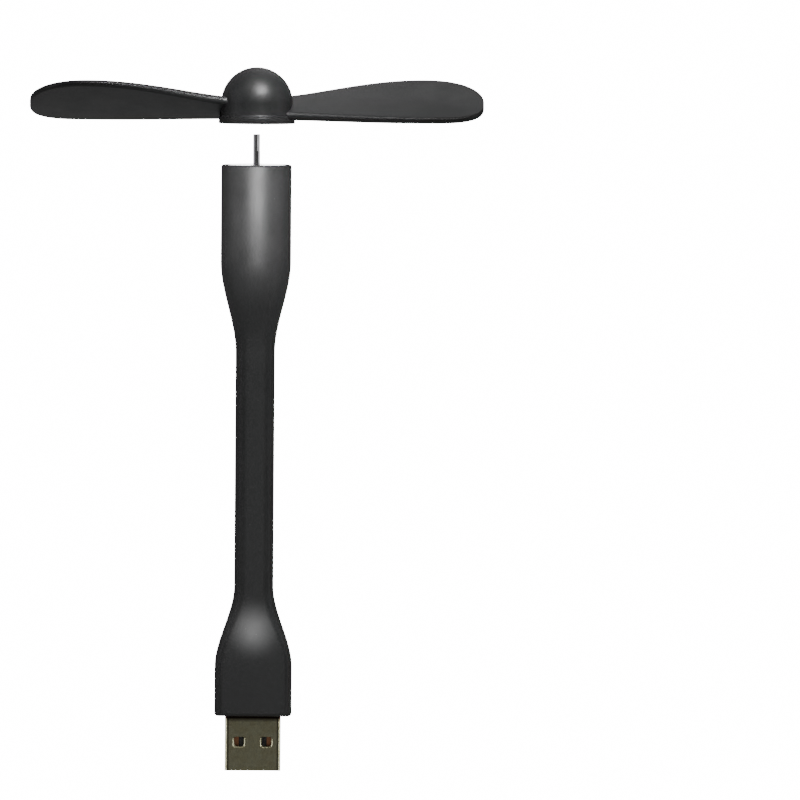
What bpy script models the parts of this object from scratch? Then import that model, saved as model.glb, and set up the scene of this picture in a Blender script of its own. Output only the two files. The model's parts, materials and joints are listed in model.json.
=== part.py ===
"""Desk fan: a USB plug, a flexible flat neck, a round motor head and a two-blade soft propeller.

Metres, +Z up along the fan. The origin is the centre of the plug on the plane where the rubber
housing ends and the bare plug begins, X runs along the plug's width, and -Y is the front.
"""
from math import asin, cos, pi, radians, sin, sqrt

import bmesh
import bpy
from mathutils import Matrix, Vector

MM = 0.001

# Clearances
FIT = 0.15 * MM              # between the small pieces inside the plug, motor and hub
BORE_FIT = 0.10 * MM         # round the shaft, and between each winding and its tooth
JOINT_GAP = 0.30 * MM        # between two neck pieces where they meet

# Plug (the standard USB-A plug)
SHELL_WIDTH = 12.0 * MM
SHELL_THICKNESS = 4.5 * MM
SHELL_WALL = 0.3 * MM
SHELL_CORNER = 0.6 * MM
SHELL_REACH = 11.75 * MM     # bare length below the housing
SHELL_DEPTH = 6.8 * MM       # length held inside the housing
WINDOW_WIDTH = 2.6 * MM
WINDOW_HEIGHT = 2.3 * MM
WINDOW_CORNER = 0.5 * MM
WINDOW_SPACING = 5.9 * MM
WINDOW_DROP = 5.6 * MM       # from the housing down to the windows' centre
TONGUE_THICKNESS = 1.85 * MM
TONGUE_SETBACK = 0.5 * MM
TONGUE_BLOCK_HEIGHT = 5.4 * MM
CONTACT_WIDTH = 1.0 * MM
CONTACT_THICKNESS = 0.3 * MM
CONTACT_PROUD = 0.05 * MM
CONTACT_TAIL = 2.1 * MM      # how far the contacts stand out of the shell's back
POWER_CONTACT_SETBACK = 0.7 * MM
DATA_CONTACT_SETBACK = 1.7 * MM
POWER_CONTACT_X = 3.5 * MM
DATA_CONTACT_X = 1.0 * MM

# Hard inner mould round the back of the plug
MOULD_WALL = 0.55 * MM
MOULD_CORNER = 0.8 * MM
MOULD_ROOF = 1.5 * MM
SOLDER_ROOM_HEIGHT = 3.7 * MM
SOLDER_ROOM_MARGIN = 0.8 * MM
SOLDER_ROOM_THICKNESS = 3.0 * MM

# Rubber housing of the plug
COVER_SIDE_WALL = 1.45 * MM
COVER_FACE_WALL = 0.7 * MM
COVER_LIP = 1.45 * MM
COVER_CORNER = 1.9 * MM
COVER_EDGE = 0.7 * MM
FLARE_START = 10.5 * MM
FLARE_LENGTH = 17.5 * MM

# Neck
NECK_LENGTH = 50.2 * MM
NECK_SIDE_WALL = 0.9 * MM
NECK_FACE_WALL = 1.85 * MM
NECK_CORNER = 2.7 * MM
NECK_JOINTS = 10
BEND_PER_JOINT = radians(24)     # each way, on every second joint
SWAY_PER_JOINT = radians(18)     # each way, on the others
WEDGE_MARGIN = radians(1)
WIRE_DIAMETER = 2.0 * MM
WIRE_COVER = 1.0 * MM            # rubber between the wire's end and the head's chamber
LEAD_DIAMETER = 1.1 * MM
LEAD_SPREAD = 0.7                # share of its way out that a lead goes by half its rise
BORE_WEB = 0.75 * MM             # rubber between the wire and each lead

# Motor head
TAPER_LENGTH = 19.6 * MM
HEAD_LENGTH = 20.85 * MM
HEAD_WALL = 1.2 * MM
HEAD_EDGE = 0.4 * MM
CHAMBER_HEIGHT = 4.2 * MM        # room for the leads' ends, below the motor
CHAMBER_ROOM = 0.55 * MM

# Motor
MOTOR_DIAMETER = 12.4 * MM
MOTOR_LENGTH = 18.95 * MM
PLATE_RECESS = 0.35 * MM
PLATE_THICKNESS = 0.6 * MM
PLATE_HOLE_ROOM = 0.55 * MM
PLATE_DISH = 0.15 * MM
COLLAR_WALL = 0.4 * MM
SLOT_RINGS = 3
SLOT_INSET = 0.55 * MM
SLOT_PITCH = 0.85 * MM
SLOT_WIDTH = 0.36 * MM
SLOT_ARC = radians(44)
SLOT_BRIDGE = radians(9)
SLOT_GROUP_TURN = radians(120)
CAN_WALL = 0.5 * MM
CAP_THICKNESS = 1.5 * MM
CAP_LIP_HEIGHT = 1.15 * MM
CAP_LIP_WALL = 1.0 * MM
CORE_DIAMETER = 7.7 * MM
MAGNET_OVERHANG = 1.0 * MM       # how far the magnets reach past the core, each end
MAGNET_HALF_ARC = radians(62)
CORE_HEADROOM = 1.9 * MM
AIR_GAP = 0.4 * MM
POLES = 3
POLE_SHOE_THICKNESS = 0.5 * MM
POLE_HALF_ARC = radians(50)
TOOTH_WIDTH = 1.6 * MM
CORE_HUB_WALL = 0.7 * MM
WINDING_WALL = 0.6 * MM
WINDING_FOOT = 0.3 * MM          # from the core's hub out to the windings
COMMUTATOR_WALL = 0.85 * MM
COMMUTATOR_HEIGHT = 2.0 * MM
COMMUTATOR_DROP = 1.3 * MM       # from the core down to the commutator
COMMUTATOR_CLEARANCE = 0.3 * MM  # from the rear cap's boss up to the commutator
COMMUTATOR_SLIT = 0.3 * MM
BUSHING_WALL = 1.05 * MM
BUSHING_HEIGHT = 2.2 * MM
TERMINAL_INSET = 0.45 * MM
TERMINAL_WIDTH = 1.8 * MM
TERMINAL_THICKNESS = 0.4 * MM
TERMINAL_DROP = 1.8 * MM         # below the motor's rear cap
BRUSH_THICKNESS = 0.25 * MM
BRUSH_WIDTH = 1.4 * MM
BRUSH_RISE = 1.0 * MM

# Shaft
SHAFT_DIAMETER = 1.5 * MM
SHAFT_REACH = 6.55 * MM          # above the head
SHAFT_END_INSET = 0.35 * MM      # inside the motor's rear cap
SHAFT_EDGE = 0.15 * MM
SHAFT_FLAT_LENGTH = 3.6 * MM
SHAFT_FLAT_DEPTH = 0.25 * MM
SHAFT_FLAT_TURN = radians(58)    # round from the front, towards +X

# Propeller, lifted off the shaft
LIFT = 8.0 * MM                  # how far it stands above its seat on the shaft
HUB_CLEARANCE = 0.85 * MM        # from the head to the hub when it is seated
HUB_DIAMETER = 15.4 * MM
HUB_SKIRT = 4.4 * MM             # height of the hub below its dome
HUB_FLANGE = 0.5 * MM
HUB_FLANGE_HEIGHT = 1.5 * MM
HUB_WALL = 1.4 * MM
BOSS_WALL = 1.2 * MM
BOSS_LIP = 0.4 * MM              # how far the boss reaches below the insert
INSERT_WALL = 1.5 * MM
INSERT_ROOF = 0.8 * MM
SEAT_GAP = 0.4 * MM              # above the seated shaft's end, and below the insert
PROPELLER_DIAMETER = 97.8 * MM
BLADE_BITE = 0.5 * MM            # how far a blade's root runs into the hub's hollow
BLADE_TIP_LENGTH = 12.4 * MM     # from the widest place out to the tip
BLADE_ROOT_CHORD = 9.3 * MM
BLADE_CHORD = 19.8 * MM
BLADE_ROOT_THICKNESS = 2.0 * MM
BLADE_TIP_THICKNESS = 1.3 * MM
BLADE_LIFT = 3.3 * MM            # from the hub's base up to the blade's middle
BLADE_RISE = 0.9 * MM            # how much higher the blade's middle is at its widest
BLADE_FLARE = 3.2 * MM           # how far the raised edge spreads beyond the other
BLADE_TIP_SWEEP = 1.9 * MM
BLADE_PITCH = radians(24)
BLADE_OPENING = 1.3              # above 1, the blade stays narrow for longer near its root
TIP_FULLNESS = 2.5               # the higher, the later the tip starts to narrow
TIP_BLUNTNESS = 0.4              # the lower, the blunter the tip's end
BLADE_TURNS = (0, 180)           # each blade's place round the hub, in degrees

# Fineness of the round shapes
CORNER_STEPS = 5
ROUND_STEPS = 40
SMALL_STEPS = 20
ROW_HEIGHT = 1.6 * MM
SLOT_STEPS = 6
SHOE_STEPS = 8
DOME_STEPS = 10
HOLLOW_STEPS = 7
BLADE_STEPS = 7
SECTION_STEPS = 4
COIL_STEPS = 3
D_HOLE_STEPS = 14
COVER_EDGE_ANGLES = (0, 30, 60, 90)
HEAD_EDGE_ANGLES = (0, 45, 90)
TIP_ANGLES = (20, 38, 54, 67, 77, 85)
SHARP_ANGLE = radians(35)
BEVEL_ANGLE = radians(60)
WELD = MM / 1000
ROUNDEST = 0.98                  # the roundest corner, as a share of half the thickness
CUT = 1.0 * MM                   # how far a cutter runs past what it cuts

# Sizes and places that follow from the ones above
MOULD_WIDTH = SHELL_WIDTH + 2 * (FIT + MOULD_WALL)
MOULD_THICKNESS = SHELL_THICKNESS + 2 * (FIT + MOULD_WALL)
MOULD_BOTTOM = COVER_LIP + FIT
MOULD_TOP = SHELL_DEPTH + SOLDER_ROOM_HEIGHT + MOULD_ROOF
SOLDER_ROOM_WIDTH = 2 * (POWER_CONTACT_X + SOLDER_ROOM_MARGIN) + CONTACT_WIDTH
CONTACT_TOP = SHELL_DEPTH + CONTACT_TAIL
COVER_WIDTH = MOULD_WIDTH + 2 * (FIT + COVER_SIDE_WALL)
COVER_THICKNESS = MOULD_THICKNESS + 2 * (FIT + COVER_FACE_WALL)
LEAD_SPACING = WIRE_DIAMETER + LEAD_DIAMETER + 4 * FIT + 2 * BORE_WEB
NECK_WIDTH = LEAD_SPACING + LEAD_DIAMETER + 2 * (FIT + NECK_SIDE_WALL)
NECK_THICKNESS = WIRE_DIAMETER + 2 * (FIT + NECK_FACE_WALL)
FLARE_END = FLARE_START + FLARE_LENGTH
NECK_TOP = FLARE_END + NECK_LENGTH
NECK_PITCH = NECK_LENGTH / NECK_JOINTS
HEAD_DIAMETER = MOTOR_DIAMETER + 2 * (FIT + HEAD_WALL)
HEAD_TAPER_END = NECK_TOP + TAPER_LENGTH
HEAD_TOP = HEAD_TAPER_END + HEAD_LENGTH
PLATE_TOP = HEAD_TOP - PLATE_RECESS
PLATE_BOTTOM = PLATE_TOP - PLATE_THICKNESS
COLLAR_BOTTOM = PLATE_BOTTOM - BUSHING_HEIGHT
CAP_BOTTOM = PLATE_TOP - MOTOR_LENGTH
CAP_TOP = CAP_BOTTOM + CAP_THICKNESS
CAP_LIP_TOP = CAP_TOP + CAP_LIP_HEIGHT
MOTOR_SEAT = CAP_BOTTOM - FIT
CHAMBER_FLOOR = MOTOR_SEAT - CHAMBER_HEIGHT
WIRE_TOP = CHAMBER_FLOOR - WIRE_COVER
CAN_INNER = MOTOR_DIAMETER / 2 - CAN_WALL
CORE_RADIUS = CORE_DIAMETER / 2
MAGNET_OUTER = CAN_INNER - FIT
MAGNET_INNER = CORE_RADIUS + AIR_GAP
CORE_HUB_RADIUS = SHAFT_DIAMETER / 2 + CORE_HUB_WALL
COMMUTATOR_BOTTOM = CAP_LIP_TOP + COMMUTATOR_CLEARANCE
COMMUTATOR_TOP = COMMUTATOR_BOTTOM + COMMUTATOR_HEIGHT
COMMUTATOR_RADIUS = SHAFT_DIAMETER / 2 + COMMUTATOR_WALL
CORE_BOTTOM = COMMUTATOR_TOP + COMMUTATOR_DROP
CORE_TOP = COLLAR_BOTTOM - CORE_HEADROOM
BUSHING_RADIUS = SHAFT_DIAMETER / 2 + BUSHING_WALL
TERMINAL_X = CAN_INNER - FIT - CAP_LIP_WALL - TERMINAL_INSET - TERMINAL_THICKNESS / 2
TERMINAL_BOTTOM = CAP_BOTTOM - TERMINAL_DROP
TERMINAL_TOP = CAP_LIP_TOP - FIT
LEAD_END = TERMINAL_BOTTOM - 2 * FIT
CHAMBER_RADIUS = TERMINAL_X + LEAD_DIAMETER / 2 + CHAMBER_ROOM
SHAFT_BOTTOM = CAP_BOTTOM + SHAFT_END_INSET
SHAFT_TOP = HEAD_TOP + SHAFT_REACH
HUB_BASE = HEAD_TOP + HUB_CLEARANCE + LIFT
HUB_TOP = HUB_BASE + HUB_SKIRT + HUB_DIAMETER / 2
HUB_INNER = HUB_DIAMETER / 2 - HUB_WALL
INSERT_RADIUS = SHAFT_DIAMETER / 2 + INSERT_WALL
INSERT_HOLE_TOP = SHAFT_TOP + LIFT + SEAT_GAP
INSERT_TOP = INSERT_HOLE_TOP + INSERT_ROOF
INSERT_BOTTOM = SHAFT_TOP + LIFT - SHAFT_FLAT_LENGTH + SEAT_GAP
BLADE_ROOT = HUB_INNER - BLADE_BITE
BLADE_TIP = PROPELLER_DIAMETER / 2
BLADE_WIDEST = BLADE_TIP - BLADE_TIP_LENGTH
ON_AXIS = Vector((0.0, 0.0, 0.0))


def clear_scene():
    for thing in list(bpy.data.objects):
        bpy.data.objects.remove(thing, do_unlink=True)


def collection(name):
    made = bpy.data.collections.new(name)
    bpy.context.scene.collection.children.link(made)
    return made


def material(name, colour, roughness, metallic=0.0):
    made = bpy.data.materials.new(name)
    made.use_nodes = True
    shader = made.node_tree.nodes["Principled BSDF"]
    shader.inputs["Base Color"].default_value = (*colour, 1.0)
    shader.inputs["Roughness"].default_value = roughness
    shader.inputs["Metallic"].default_value = metallic
    return made


def on_axis(height):
    return Vector((0.0, 0.0, height))


def smoothstep(value):
    value = min(max(value, 0.0), 1.0)
    return value * value * (3 - 2 * value)


def object_of(name, mesh):
    made = bpy.data.objects.new(name, mesh)
    FAN.objects.link(made)
    return made


def from_bmesh(name, bm):
    bmesh.ops.recalc_face_normals(bm, faces=bm.faces)
    mesh = bpy.data.meshes.new(name)
    bm.to_mesh(mesh)
    bm.free()
    return object_of(name, mesh)


def shade(piece, finish, pivot=ON_AXIS):
    """Give a piece its material and smooth shading, and put its origin at its pivot."""
    piece.data.materials.clear()
    piece.data.materials.append(finish)
    piece.data.shade_smooth()
    piece.data.set_sharp_from_angle(angle=SHARP_ANGLE)
    piece.data.transform(Matrix.Translation(-pivot))
    piece.location = pivot
    return piece


def make_cutter(piece):
    FAN.objects.unlink(piece)
    CUTTERS.objects.link(piece)
    piece.hide_render = True
    piece.display_type = "WIRE"
    return piece


def boolean(piece, tool, operation):
    """Join, cut or intersect a piece with a tool, which then counts as a cutter."""
    make_cutter(tool)
    change = piece.modifiers.new(operation.lower(), "BOOLEAN")
    change.operation = operation
    change.solver = "EXACT"
    change.object = tool
    return piece


def box(name, low, high):
    """A box between two corners."""
    bm = bmesh.new()
    bmesh.ops.create_cube(bm, size=1.0)
    low, high = Vector(low), Vector(high)
    bmesh.ops.scale(bm, vec=high - low, verts=bm.verts)
    bmesh.ops.translate(bm, vec=(low + high) / 2, verts=bm.verts)
    return from_bmesh(name, bm)


def cylinder(name, radius, low, high, x=0.0, steps=SMALL_STEPS):
    bm = bmesh.new()
    bmesh.ops.create_cone(bm, cap_ends=True, segments=steps, radius1=radius, radius2=radius,
                          depth=high - low)
    bmesh.ops.translate(bm, vec=(x, 0.0, (low + high) / 2), verts=bm.verts)
    return from_bmesh(name, bm)


def arc(radius, start, end, steps, centre=(0.0, 0.0)):
    """Points along an arc, both ends included."""
    angles = [start + (end - start) * i / steps for i in range(steps + 1)]
    return [(centre[0] + radius * cos(a), centre[1] + radius * sin(a)) for a in angles]


def rounded_outline(width, thickness, corner, steps=CORNER_STEPS):
    """A rectangle with round corners, counter-clockwise from the +X side."""
    x, y = width / 2 - corner, thickness / 2 - corner
    points = []
    for quarter, (sx, sy) in enumerate(((1, 1), (-1, 1), (-1, -1), (1, -1))):
        start = quarter * pi / 2
        points += arc(corner, start, start + pi / 2, steps, (sx * x, sy * y))
    return points


def circle_outline(radius, x=0.0, steps=SMALL_STEPS):
    return arc(radius, 0.0, 2 * pi * (1 - 1 / steps), steps - 1, (x, 0.0))


def plate_outline(name, outlines, low, high):
    """A flat shape with holes, from its outlines in the XY plane, between two heights."""
    curve = bpy.data.curves.new(name, "CURVE")
    curve.dimensions = "2D"
    curve.fill_mode = "BOTH"
    curve.extrude = (high - low) / 2
    for points in outlines:
        spline = curve.splines.new("POLY")
        spline.points.add(len(points) - 1)
        for point, (x, y) in zip(spline.points, points):
            point.co = (x, y, 0.0, 1.0)
        spline.use_cyclic_u = True
    guide = object_of(name, curve)
    guide.location.z = (low + high) / 2
    return mesh_of_curve(guide)


def mesh_of_curve(guide):
    """Turn a curve object into a closed mesh object of the same name and place."""
    bpy.context.view_layer.update()
    name, world, curve = guide.name, guide.matrix_world.copy(), guide.data
    mesh = bpy.data.meshes.new_from_object(guide.evaluated_get(bpy.context.evaluated_depsgraph_get()))
    bpy.data.objects.remove(guide, do_unlink=True)
    bpy.data.curves.remove(curve)
    bm = bmesh.new()
    bm.from_mesh(mesh)
    bpy.data.meshes.remove(mesh)
    bmesh.ops.remove_doubles(bm, verts=bm.verts, dist=WELD)
    bm.transform(world)
    return from_bmesh(name, bm)


def turned(name, profile, closed, steps=ROUND_STEPS):
    """A turned shape. The profile's (radius, height) points run down its outer side first."""
    mesh = bpy.data.meshes.new(name)
    edges = [(i, i + 1) for i in range(len(profile) - 1)]
    if closed:
        edges.append((len(profile) - 1, 0))
    mesh.from_pydata([(r, 0.0, z) for r, z in profile], edges, [])
    piece = object_of(name, mesh)
    screw = piece.modifiers.new("turn", "SCREW")
    screw.steps = steps
    screw.render_steps = steps
    screw.use_merge_vertices = True
    screw.merge_threshold = WELD
    screw.use_smooth_shade = True
    return piece


def tube(name, points, diameter):
    """A wire with flat ends along a row of points."""
    curve = bpy.data.curves.new(name, "CURVE")
    curve.dimensions = "3D"
    curve.bevel_depth = diameter / 2
    curve.bevel_resolution = 2
    curve.use_fill_caps = True
    spline = curve.splines.new("POLY")
    spline.points.add(len(points) - 1)
    for point, place in zip(spline.points, points):
        point.co = (*place, 1.0)
    return mesh_of_curve(object_of(name, curve))


def loft(name, rings):
    """A closed body through rings that have the same number of points, with flat ends."""
    bm = bmesh.new()
    rows = [[bm.verts.new(point) for point in ring] for ring in rings]
    count = len(rows[0])
    for low, high in zip(rows, rows[1:]):
        for i in range(count):
            j = (i + 1) % count
            bm.faces.new((low[i], low[j], high[j], high[i]))
    bm.faces.new(reversed(rows[0]))
    bm.faces.new(rows[-1])
    return from_bmesh(name, bm)


def ring_at(height, outline):
    return [(x, y, height) for x, y in outline]


def rows_between(low, high):
    """Heights from low to high, both included, about one row height apart."""
    count = max(1, round((high - low) / ROW_HEIGHT))
    return [low + (high - low) * i / count for i in range(count + 1)]


def joint_height(index):
    """The height of a neck joint, counted from 0 at the plug's end."""
    return FLARE_END + (index + 0.5) * NECK_PITCH


def joint_bends(index):
    """Whether the joint bends to and fro, about X. The others sway sideways, about Y."""
    return index % 2 == 0


def bore_outlines():
    """The holes along the neck for the gooseneck wire and the two leads."""
    holes = [circle_outline(WIRE_DIAMETER / 2 + FIT)]
    for side in (-1, 1):
        holes.append(circle_outline(LEAD_DIAMETER / 2 + FIT, side * LEAD_SPACING / 2, SMALL_STEPS // 2))
    return holes


def cut_bores(piece, low, high):
    """Cut the neck's three holes through a piece."""
    for number, outline in enumerate(bore_outlines()):
        bore = plate_outline(f"{piece.name}_bore_{number}", [outline], low, high)
        boolean(piece, bore, "DIFFERENCE")


def neck_block(name, low_joint, high_joint):
    """The room between two neck joints, wedge-shaped at each so that its pieces can tilt.

    A joint left out as None leaves that end square, past the end of the fan's rubber.
    """
    reach = HEAD_DIAMETER + COVER_WIDTH
    low = -CUT if low_joint is None else joint_height(low_joint)
    high = HEAD_TOP + CUT if high_joint is None else joint_height(high_joint)
    bm = bmesh.new()
    bmesh.ops.create_cube(bm, size=1.0)
    bmesh.ops.scale(bm, vec=(reach, reach, high - low), verts=bm.verts)
    bmesh.ops.translate(bm, vec=(0.0, 0.0, (low + high) / 2), verts=bm.verts)
    for joint, outward in ((low_joint, -1), (high_joint, 1)):
        if joint is None:
            continue
        bends = joint_bends(joint)
        tilt = (BEND_PER_JOINT if bends else SWAY_PER_JOINT) / 2 + WEDGE_MARGIN
        ridge = on_axis(joint_height(joint) - outward * JOINT_GAP / 2)
        for side in (-1, 1):
            across = Vector((0.0, side, 0.0)) if bends else Vector((side, 0.0, 0.0))
            normal = across * sin(tilt) + on_axis(outward * cos(tilt))
            cut = bmesh.ops.bisect_plane(bm, geom=bm.verts[:] + bm.edges[:] + bm.faces[:],
                                         plane_co=ridge, plane_no=normal, clear_outer=True)
            rim = [e for e in cut["geom_cut"] if isinstance(e, bmesh.types.BMEdge)]
            bmesh.ops.contextual_create(bm, geom=rim)
    return from_bmesh(name, bm)


def make_shell():
    outer = rounded_outline(SHELL_WIDTH, SHELL_THICKNESS, SHELL_CORNER)
    inner = rounded_outline(SHELL_WIDTH - 2 * SHELL_WALL, SHELL_THICKNESS - 2 * SHELL_WALL,
                            SHELL_CORNER - SHELL_WALL)
    shell = plate_outline("usb_shell", [outer, inner], -SHELL_REACH, SHELL_DEPTH)
    for side in (-1, 1):
        outline = rounded_outline(WINDOW_WIDTH, WINDOW_HEIGHT, WINDOW_CORNER)
        window = plate_outline(f"window_{side}", [outline], -SHELL_THICKNESS, SHELL_THICKNESS)
        stand = Matrix.Rotation(pi / 2, 4, "X")
        place = Matrix.Translation((side * WINDOW_SPACING / 2, 0.0, -WINDOW_DROP))
        window.data.transform(place @ stand)
        boolean(shell, window, "DIFFERENCE")
    shade(shell, material("plug_steel", (0.62, 0.61, 0.57), 0.25, 1.0))


def contact_places():
    """Each contact's name, place along X and setback from the shell's mouth."""
    return (("usb_contact_vbus", -POWER_CONTACT_X, POWER_CONTACT_SETBACK),
            ("usb_contact_data_minus", -DATA_CONTACT_X, DATA_CONTACT_SETBACK),
            ("usb_contact_data_plus", DATA_CONTACT_X, DATA_CONTACT_SETBACK),
            ("usb_contact_ground", POWER_CONTACT_X, POWER_CONTACT_SETBACK))


def make_tongue():
    width = SHELL_WIDTH / 2 - SHELL_WALL - FIT
    back = SHELL_THICKNESS / 2 - SHELL_WALL - FIT
    front = back - TONGUE_THICKNESS
    top = SHELL_DEPTH - FIT
    tip = -SHELL_REACH + TONGUE_SETBACK
    tongue = box("usb_tongue", (-width, front, tip), (width, back, top))
    block = box("tongue_block", (-width, -back, top - TONGUE_BLOCK_HEIGHT), (width, back, top))
    boolean(tongue, block, "UNION")
    gold = material("contact_gold", (0.83, 0.62, 0.30), 0.25, 1.0)
    for name, x, setback in contact_places():
        low = tip + setback
        face = front - CONTACT_PROUD
        strip = box(name, (x - CONTACT_WIDTH / 2, face, low),
                    (x + CONTACT_WIDTH / 2, face + CONTACT_THICKNESS, CONTACT_TOP))
        groove = box(name + "_groove", (x - CONTACT_WIDTH / 2 - FIT, face - FIT, low - FIT),
                     (x + CONTACT_WIDTH / 2 + FIT, face + CONTACT_THICKNESS + FIT, top + CUT))
        boolean(tongue, groove, "DIFFERENCE")
        shade(strip, gold)
    shade(tongue, material("plug_plastic", (0.02, 0.02, 0.02), 0.45))


def make_inner_mould():
    outline = rounded_outline(MOULD_WIDTH, MOULD_THICKNESS, MOULD_CORNER)
    mould = plate_outline("plug_inner_mould", [outline], MOULD_BOTTOM, MOULD_TOP)
    shell_room = plate_outline(
        "shell_room",
        [rounded_outline(SHELL_WIDTH + 2 * FIT, SHELL_THICKNESS + 2 * FIT, SHELL_CORNER + FIT)],
        MOULD_BOTTOM - CUT, SHELL_DEPTH + FIT)
    half_width, half_thickness = SOLDER_ROOM_WIDTH / 2, SOLDER_ROOM_THICKNESS / 2
    solder_room = box("solder_room", (-half_width, -half_thickness, SHELL_DEPTH - CUT),
                      (half_width, half_thickness, MOULD_TOP - MOULD_ROOF))
    boolean(mould, shell_room, "DIFFERENCE")
    boolean(mould, solder_room, "DIFFERENCE")
    for side in (-1, 1):
        way = cylinder(f"mould_way_{side}", LEAD_DIAMETER / 2 + FIT, MOULD_TOP - MOULD_ROOF - CUT,
                       MOULD_TOP + CUT, side * LEAD_SPACING / 2, SMALL_STEPS // 2)
        boolean(mould, way, "DIFFERENCE")
    shade(mould, material("inner_plastic", (0.75, 0.73, 0.68), 0.5))


def make_plug_cover(rubber):
    """The rubber housing: edge, straight part, flare, and the neck up to the first joint."""
    def ring(height, width, thickness, corner, inset=0.0):
        return ring_at(height, rounded_outline(width - 2 * inset, thickness - 2 * inset, corner - inset))

    rings = []
    for angle in COVER_EDGE_ANGLES:
        inset = COVER_EDGE * (1 - sin(radians(angle)))
        height = COVER_EDGE * (1 - cos(radians(angle)))
        rings.append(ring(height, COVER_WIDTH, COVER_THICKNESS, COVER_CORNER, inset))
    for height in rows_between(FLARE_START, FLARE_END):
        share = smoothstep((height - FLARE_START) / (FLARE_END - FLARE_START))
        rings.append(ring(height,
                          COVER_WIDTH + (NECK_WIDTH - COVER_WIDTH) * share,
                          COVER_THICKNESS + (NECK_THICKNESS - COVER_THICKNESS) * share,
                          COVER_CORNER + (NECK_CORNER - COVER_CORNER) * share))
    rings.append(ring(joint_height(1), NECK_WIDTH, NECK_THICKNESS, NECK_CORNER))
    cover = loft("plug_cover", rings)
    boolean(cover, neck_block("plug_end_block", None, 0), "INTERSECT")
    mould_room = plate_outline(
        "mould_room",
        [rounded_outline(MOULD_WIDTH + 2 * FIT, MOULD_THICKNESS + 2 * FIT, MOULD_CORNER + FIT)],
        MOULD_BOTTOM - FIT, MOULD_TOP + FIT)
    mouth = plate_outline(
        "plug_mouth",
        [rounded_outline(SHELL_WIDTH + 2 * FIT, SHELL_THICKNESS + 2 * FIT, SHELL_CORNER + FIT)],
        -CUT, MOULD_BOTTOM + CUT)
    boolean(cover, mould_room, "DIFFERENCE")
    boolean(cover, mouth, "DIFFERENCE")
    cut_bores(cover, MOULD_TOP - CUT, joint_height(1))
    shade(cover, rubber)


def make_neck_sleeve(index, rubber):
    """The neck's rubber between joint index - 1 and joint index."""
    outline = rounded_outline(NECK_WIDTH, NECK_THICKNESS, NECK_CORNER)
    sleeve = plate_outline(f"neck_sleeve_{index}", [outline] + bore_outlines(),
                           joint_height(index - 1) - CUT, joint_height(index) + CUT)
    boolean(sleeve, neck_block(f"sleeve_block_{index}", index - 1, index), "INTERSECT")
    shade(sleeve, rubber, on_axis(joint_height(index - 1)))


def make_head_cover(rubber):
    """The rubber head: the neck above the last joint, the taper, and the sleeve of the motor."""
    def ring(height, share, inset=0.0):
        width = NECK_WIDTH + (HEAD_DIAMETER - NECK_WIDTH) * share - 2 * inset
        thickness = NECK_THICKNESS + (HEAD_DIAMETER - NECK_THICKNESS) * share - 2 * inset
        corner = NECK_CORNER + (HEAD_DIAMETER / 2 - NECK_CORNER) * share - inset
        return ring_at(height, rounded_outline(width, thickness, min(corner, ROUNDEST * thickness / 2)))

    last = NECK_JOINTS - 1
    rings = [ring(joint_height(last - 1), 0.0)]
    for height in rows_between(NECK_TOP, HEAD_TAPER_END):
        rings.append(ring(height, smoothstep((height - NECK_TOP) / (HEAD_TAPER_END - NECK_TOP))))
    for angle in HEAD_EDGE_ANGLES:
        inset = HEAD_EDGE * (1 - cos(radians(angle)))
        rings.append(ring(HEAD_TOP - HEAD_EDGE * (1 - sin(radians(angle))), 1.0, inset))
    cover = loft("head_cover", rings)
    boolean(cover, neck_block("head_end_block", last, None), "INTERSECT")
    motor_room = turned("motor_room", [
        (0.0, HEAD_TOP + CUT),
        (MOTOR_DIAMETER / 2 + FIT, HEAD_TOP + CUT),
        (MOTOR_DIAMETER / 2 + FIT, MOTOR_SEAT),
        (CHAMBER_RADIUS, MOTOR_SEAT),
        (CHAMBER_RADIUS, CHAMBER_FLOOR),
        (0.0, CHAMBER_FLOOR)], closed=False)
    boolean(cover, motor_room, "DIFFERENCE")
    cut_bores(cover, joint_height(last - 1), CHAMBER_FLOOR + CUT)
    shade(cover, rubber, on_axis(joint_height(last)))


def make_wires():
    wire = tube("gooseneck_wire", [on_axis(MOULD_TOP + 2 * FIT), on_axis(WIRE_TOP)], WIRE_DIAMETER)
    shade(wire, material("gooseneck_steel", (0.45, 0.45, 0.46), 0.4, 1.0))
    finishes = (("red_lead", -1, material("red_insulation", (0.60, 0.03, 0.02), 0.45)),
                ("black_lead", 1, material("black_insulation", (0.015, 0.015, 0.015), 0.45)))
    for name, side, finish in finishes:
        inner, outer = side * LEAD_SPACING / 2, side * TERMINAL_X
        route = [(inner, 0.0, CONTACT_TOP + FIT),
                 (inner, 0.0, CHAMBER_FLOOR + FIT),
                 (inner + (outer - inner) * LEAD_SPREAD, 0.0, (CHAMBER_FLOOR + LEAD_END) / 2),
                 (outer, 0.0, LEAD_END)]
        shade(tube(name, route, LEAD_DIAMETER), finish)


def make_stator(pivot):
    steel = material("can_steel", (0.60, 0.60, 0.60), 0.3, 1.0)
    radius = MOTOR_DIAMETER / 2
    can = turned("motor_can", [
        (radius, PLATE_BOTTOM - FIT), (radius, CAP_TOP + FIT),
        (CAN_INNER, CAP_TOP + FIT), (CAN_INNER, PLATE_BOTTOM - FIT)], closed=True)
    shade(can, steel, pivot)
    make_end_plate(pivot)
    make_rear_cap(pivot)
    ferrite = material("magnet_ferrite", (0.06, 0.06, 0.065), 0.6)
    for name, facing in (("magnet_left", pi), ("magnet_right", 0.0)):
        start, end = facing - MAGNET_HALF_ARC, facing + MAGNET_HALF_ARC
        outline = arc(MAGNET_OUTER, start, end, SMALL_STEPS // 2)
        outline += arc(MAGNET_INNER, end, start, SMALL_STEPS // 2)
        magnet = plate_outline(name, [outline], CORE_BOTTOM - MAGNET_OVERHANG, CORE_TOP + MAGNET_OVERHANG)
        shade(magnet, ferrite, pivot)


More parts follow.
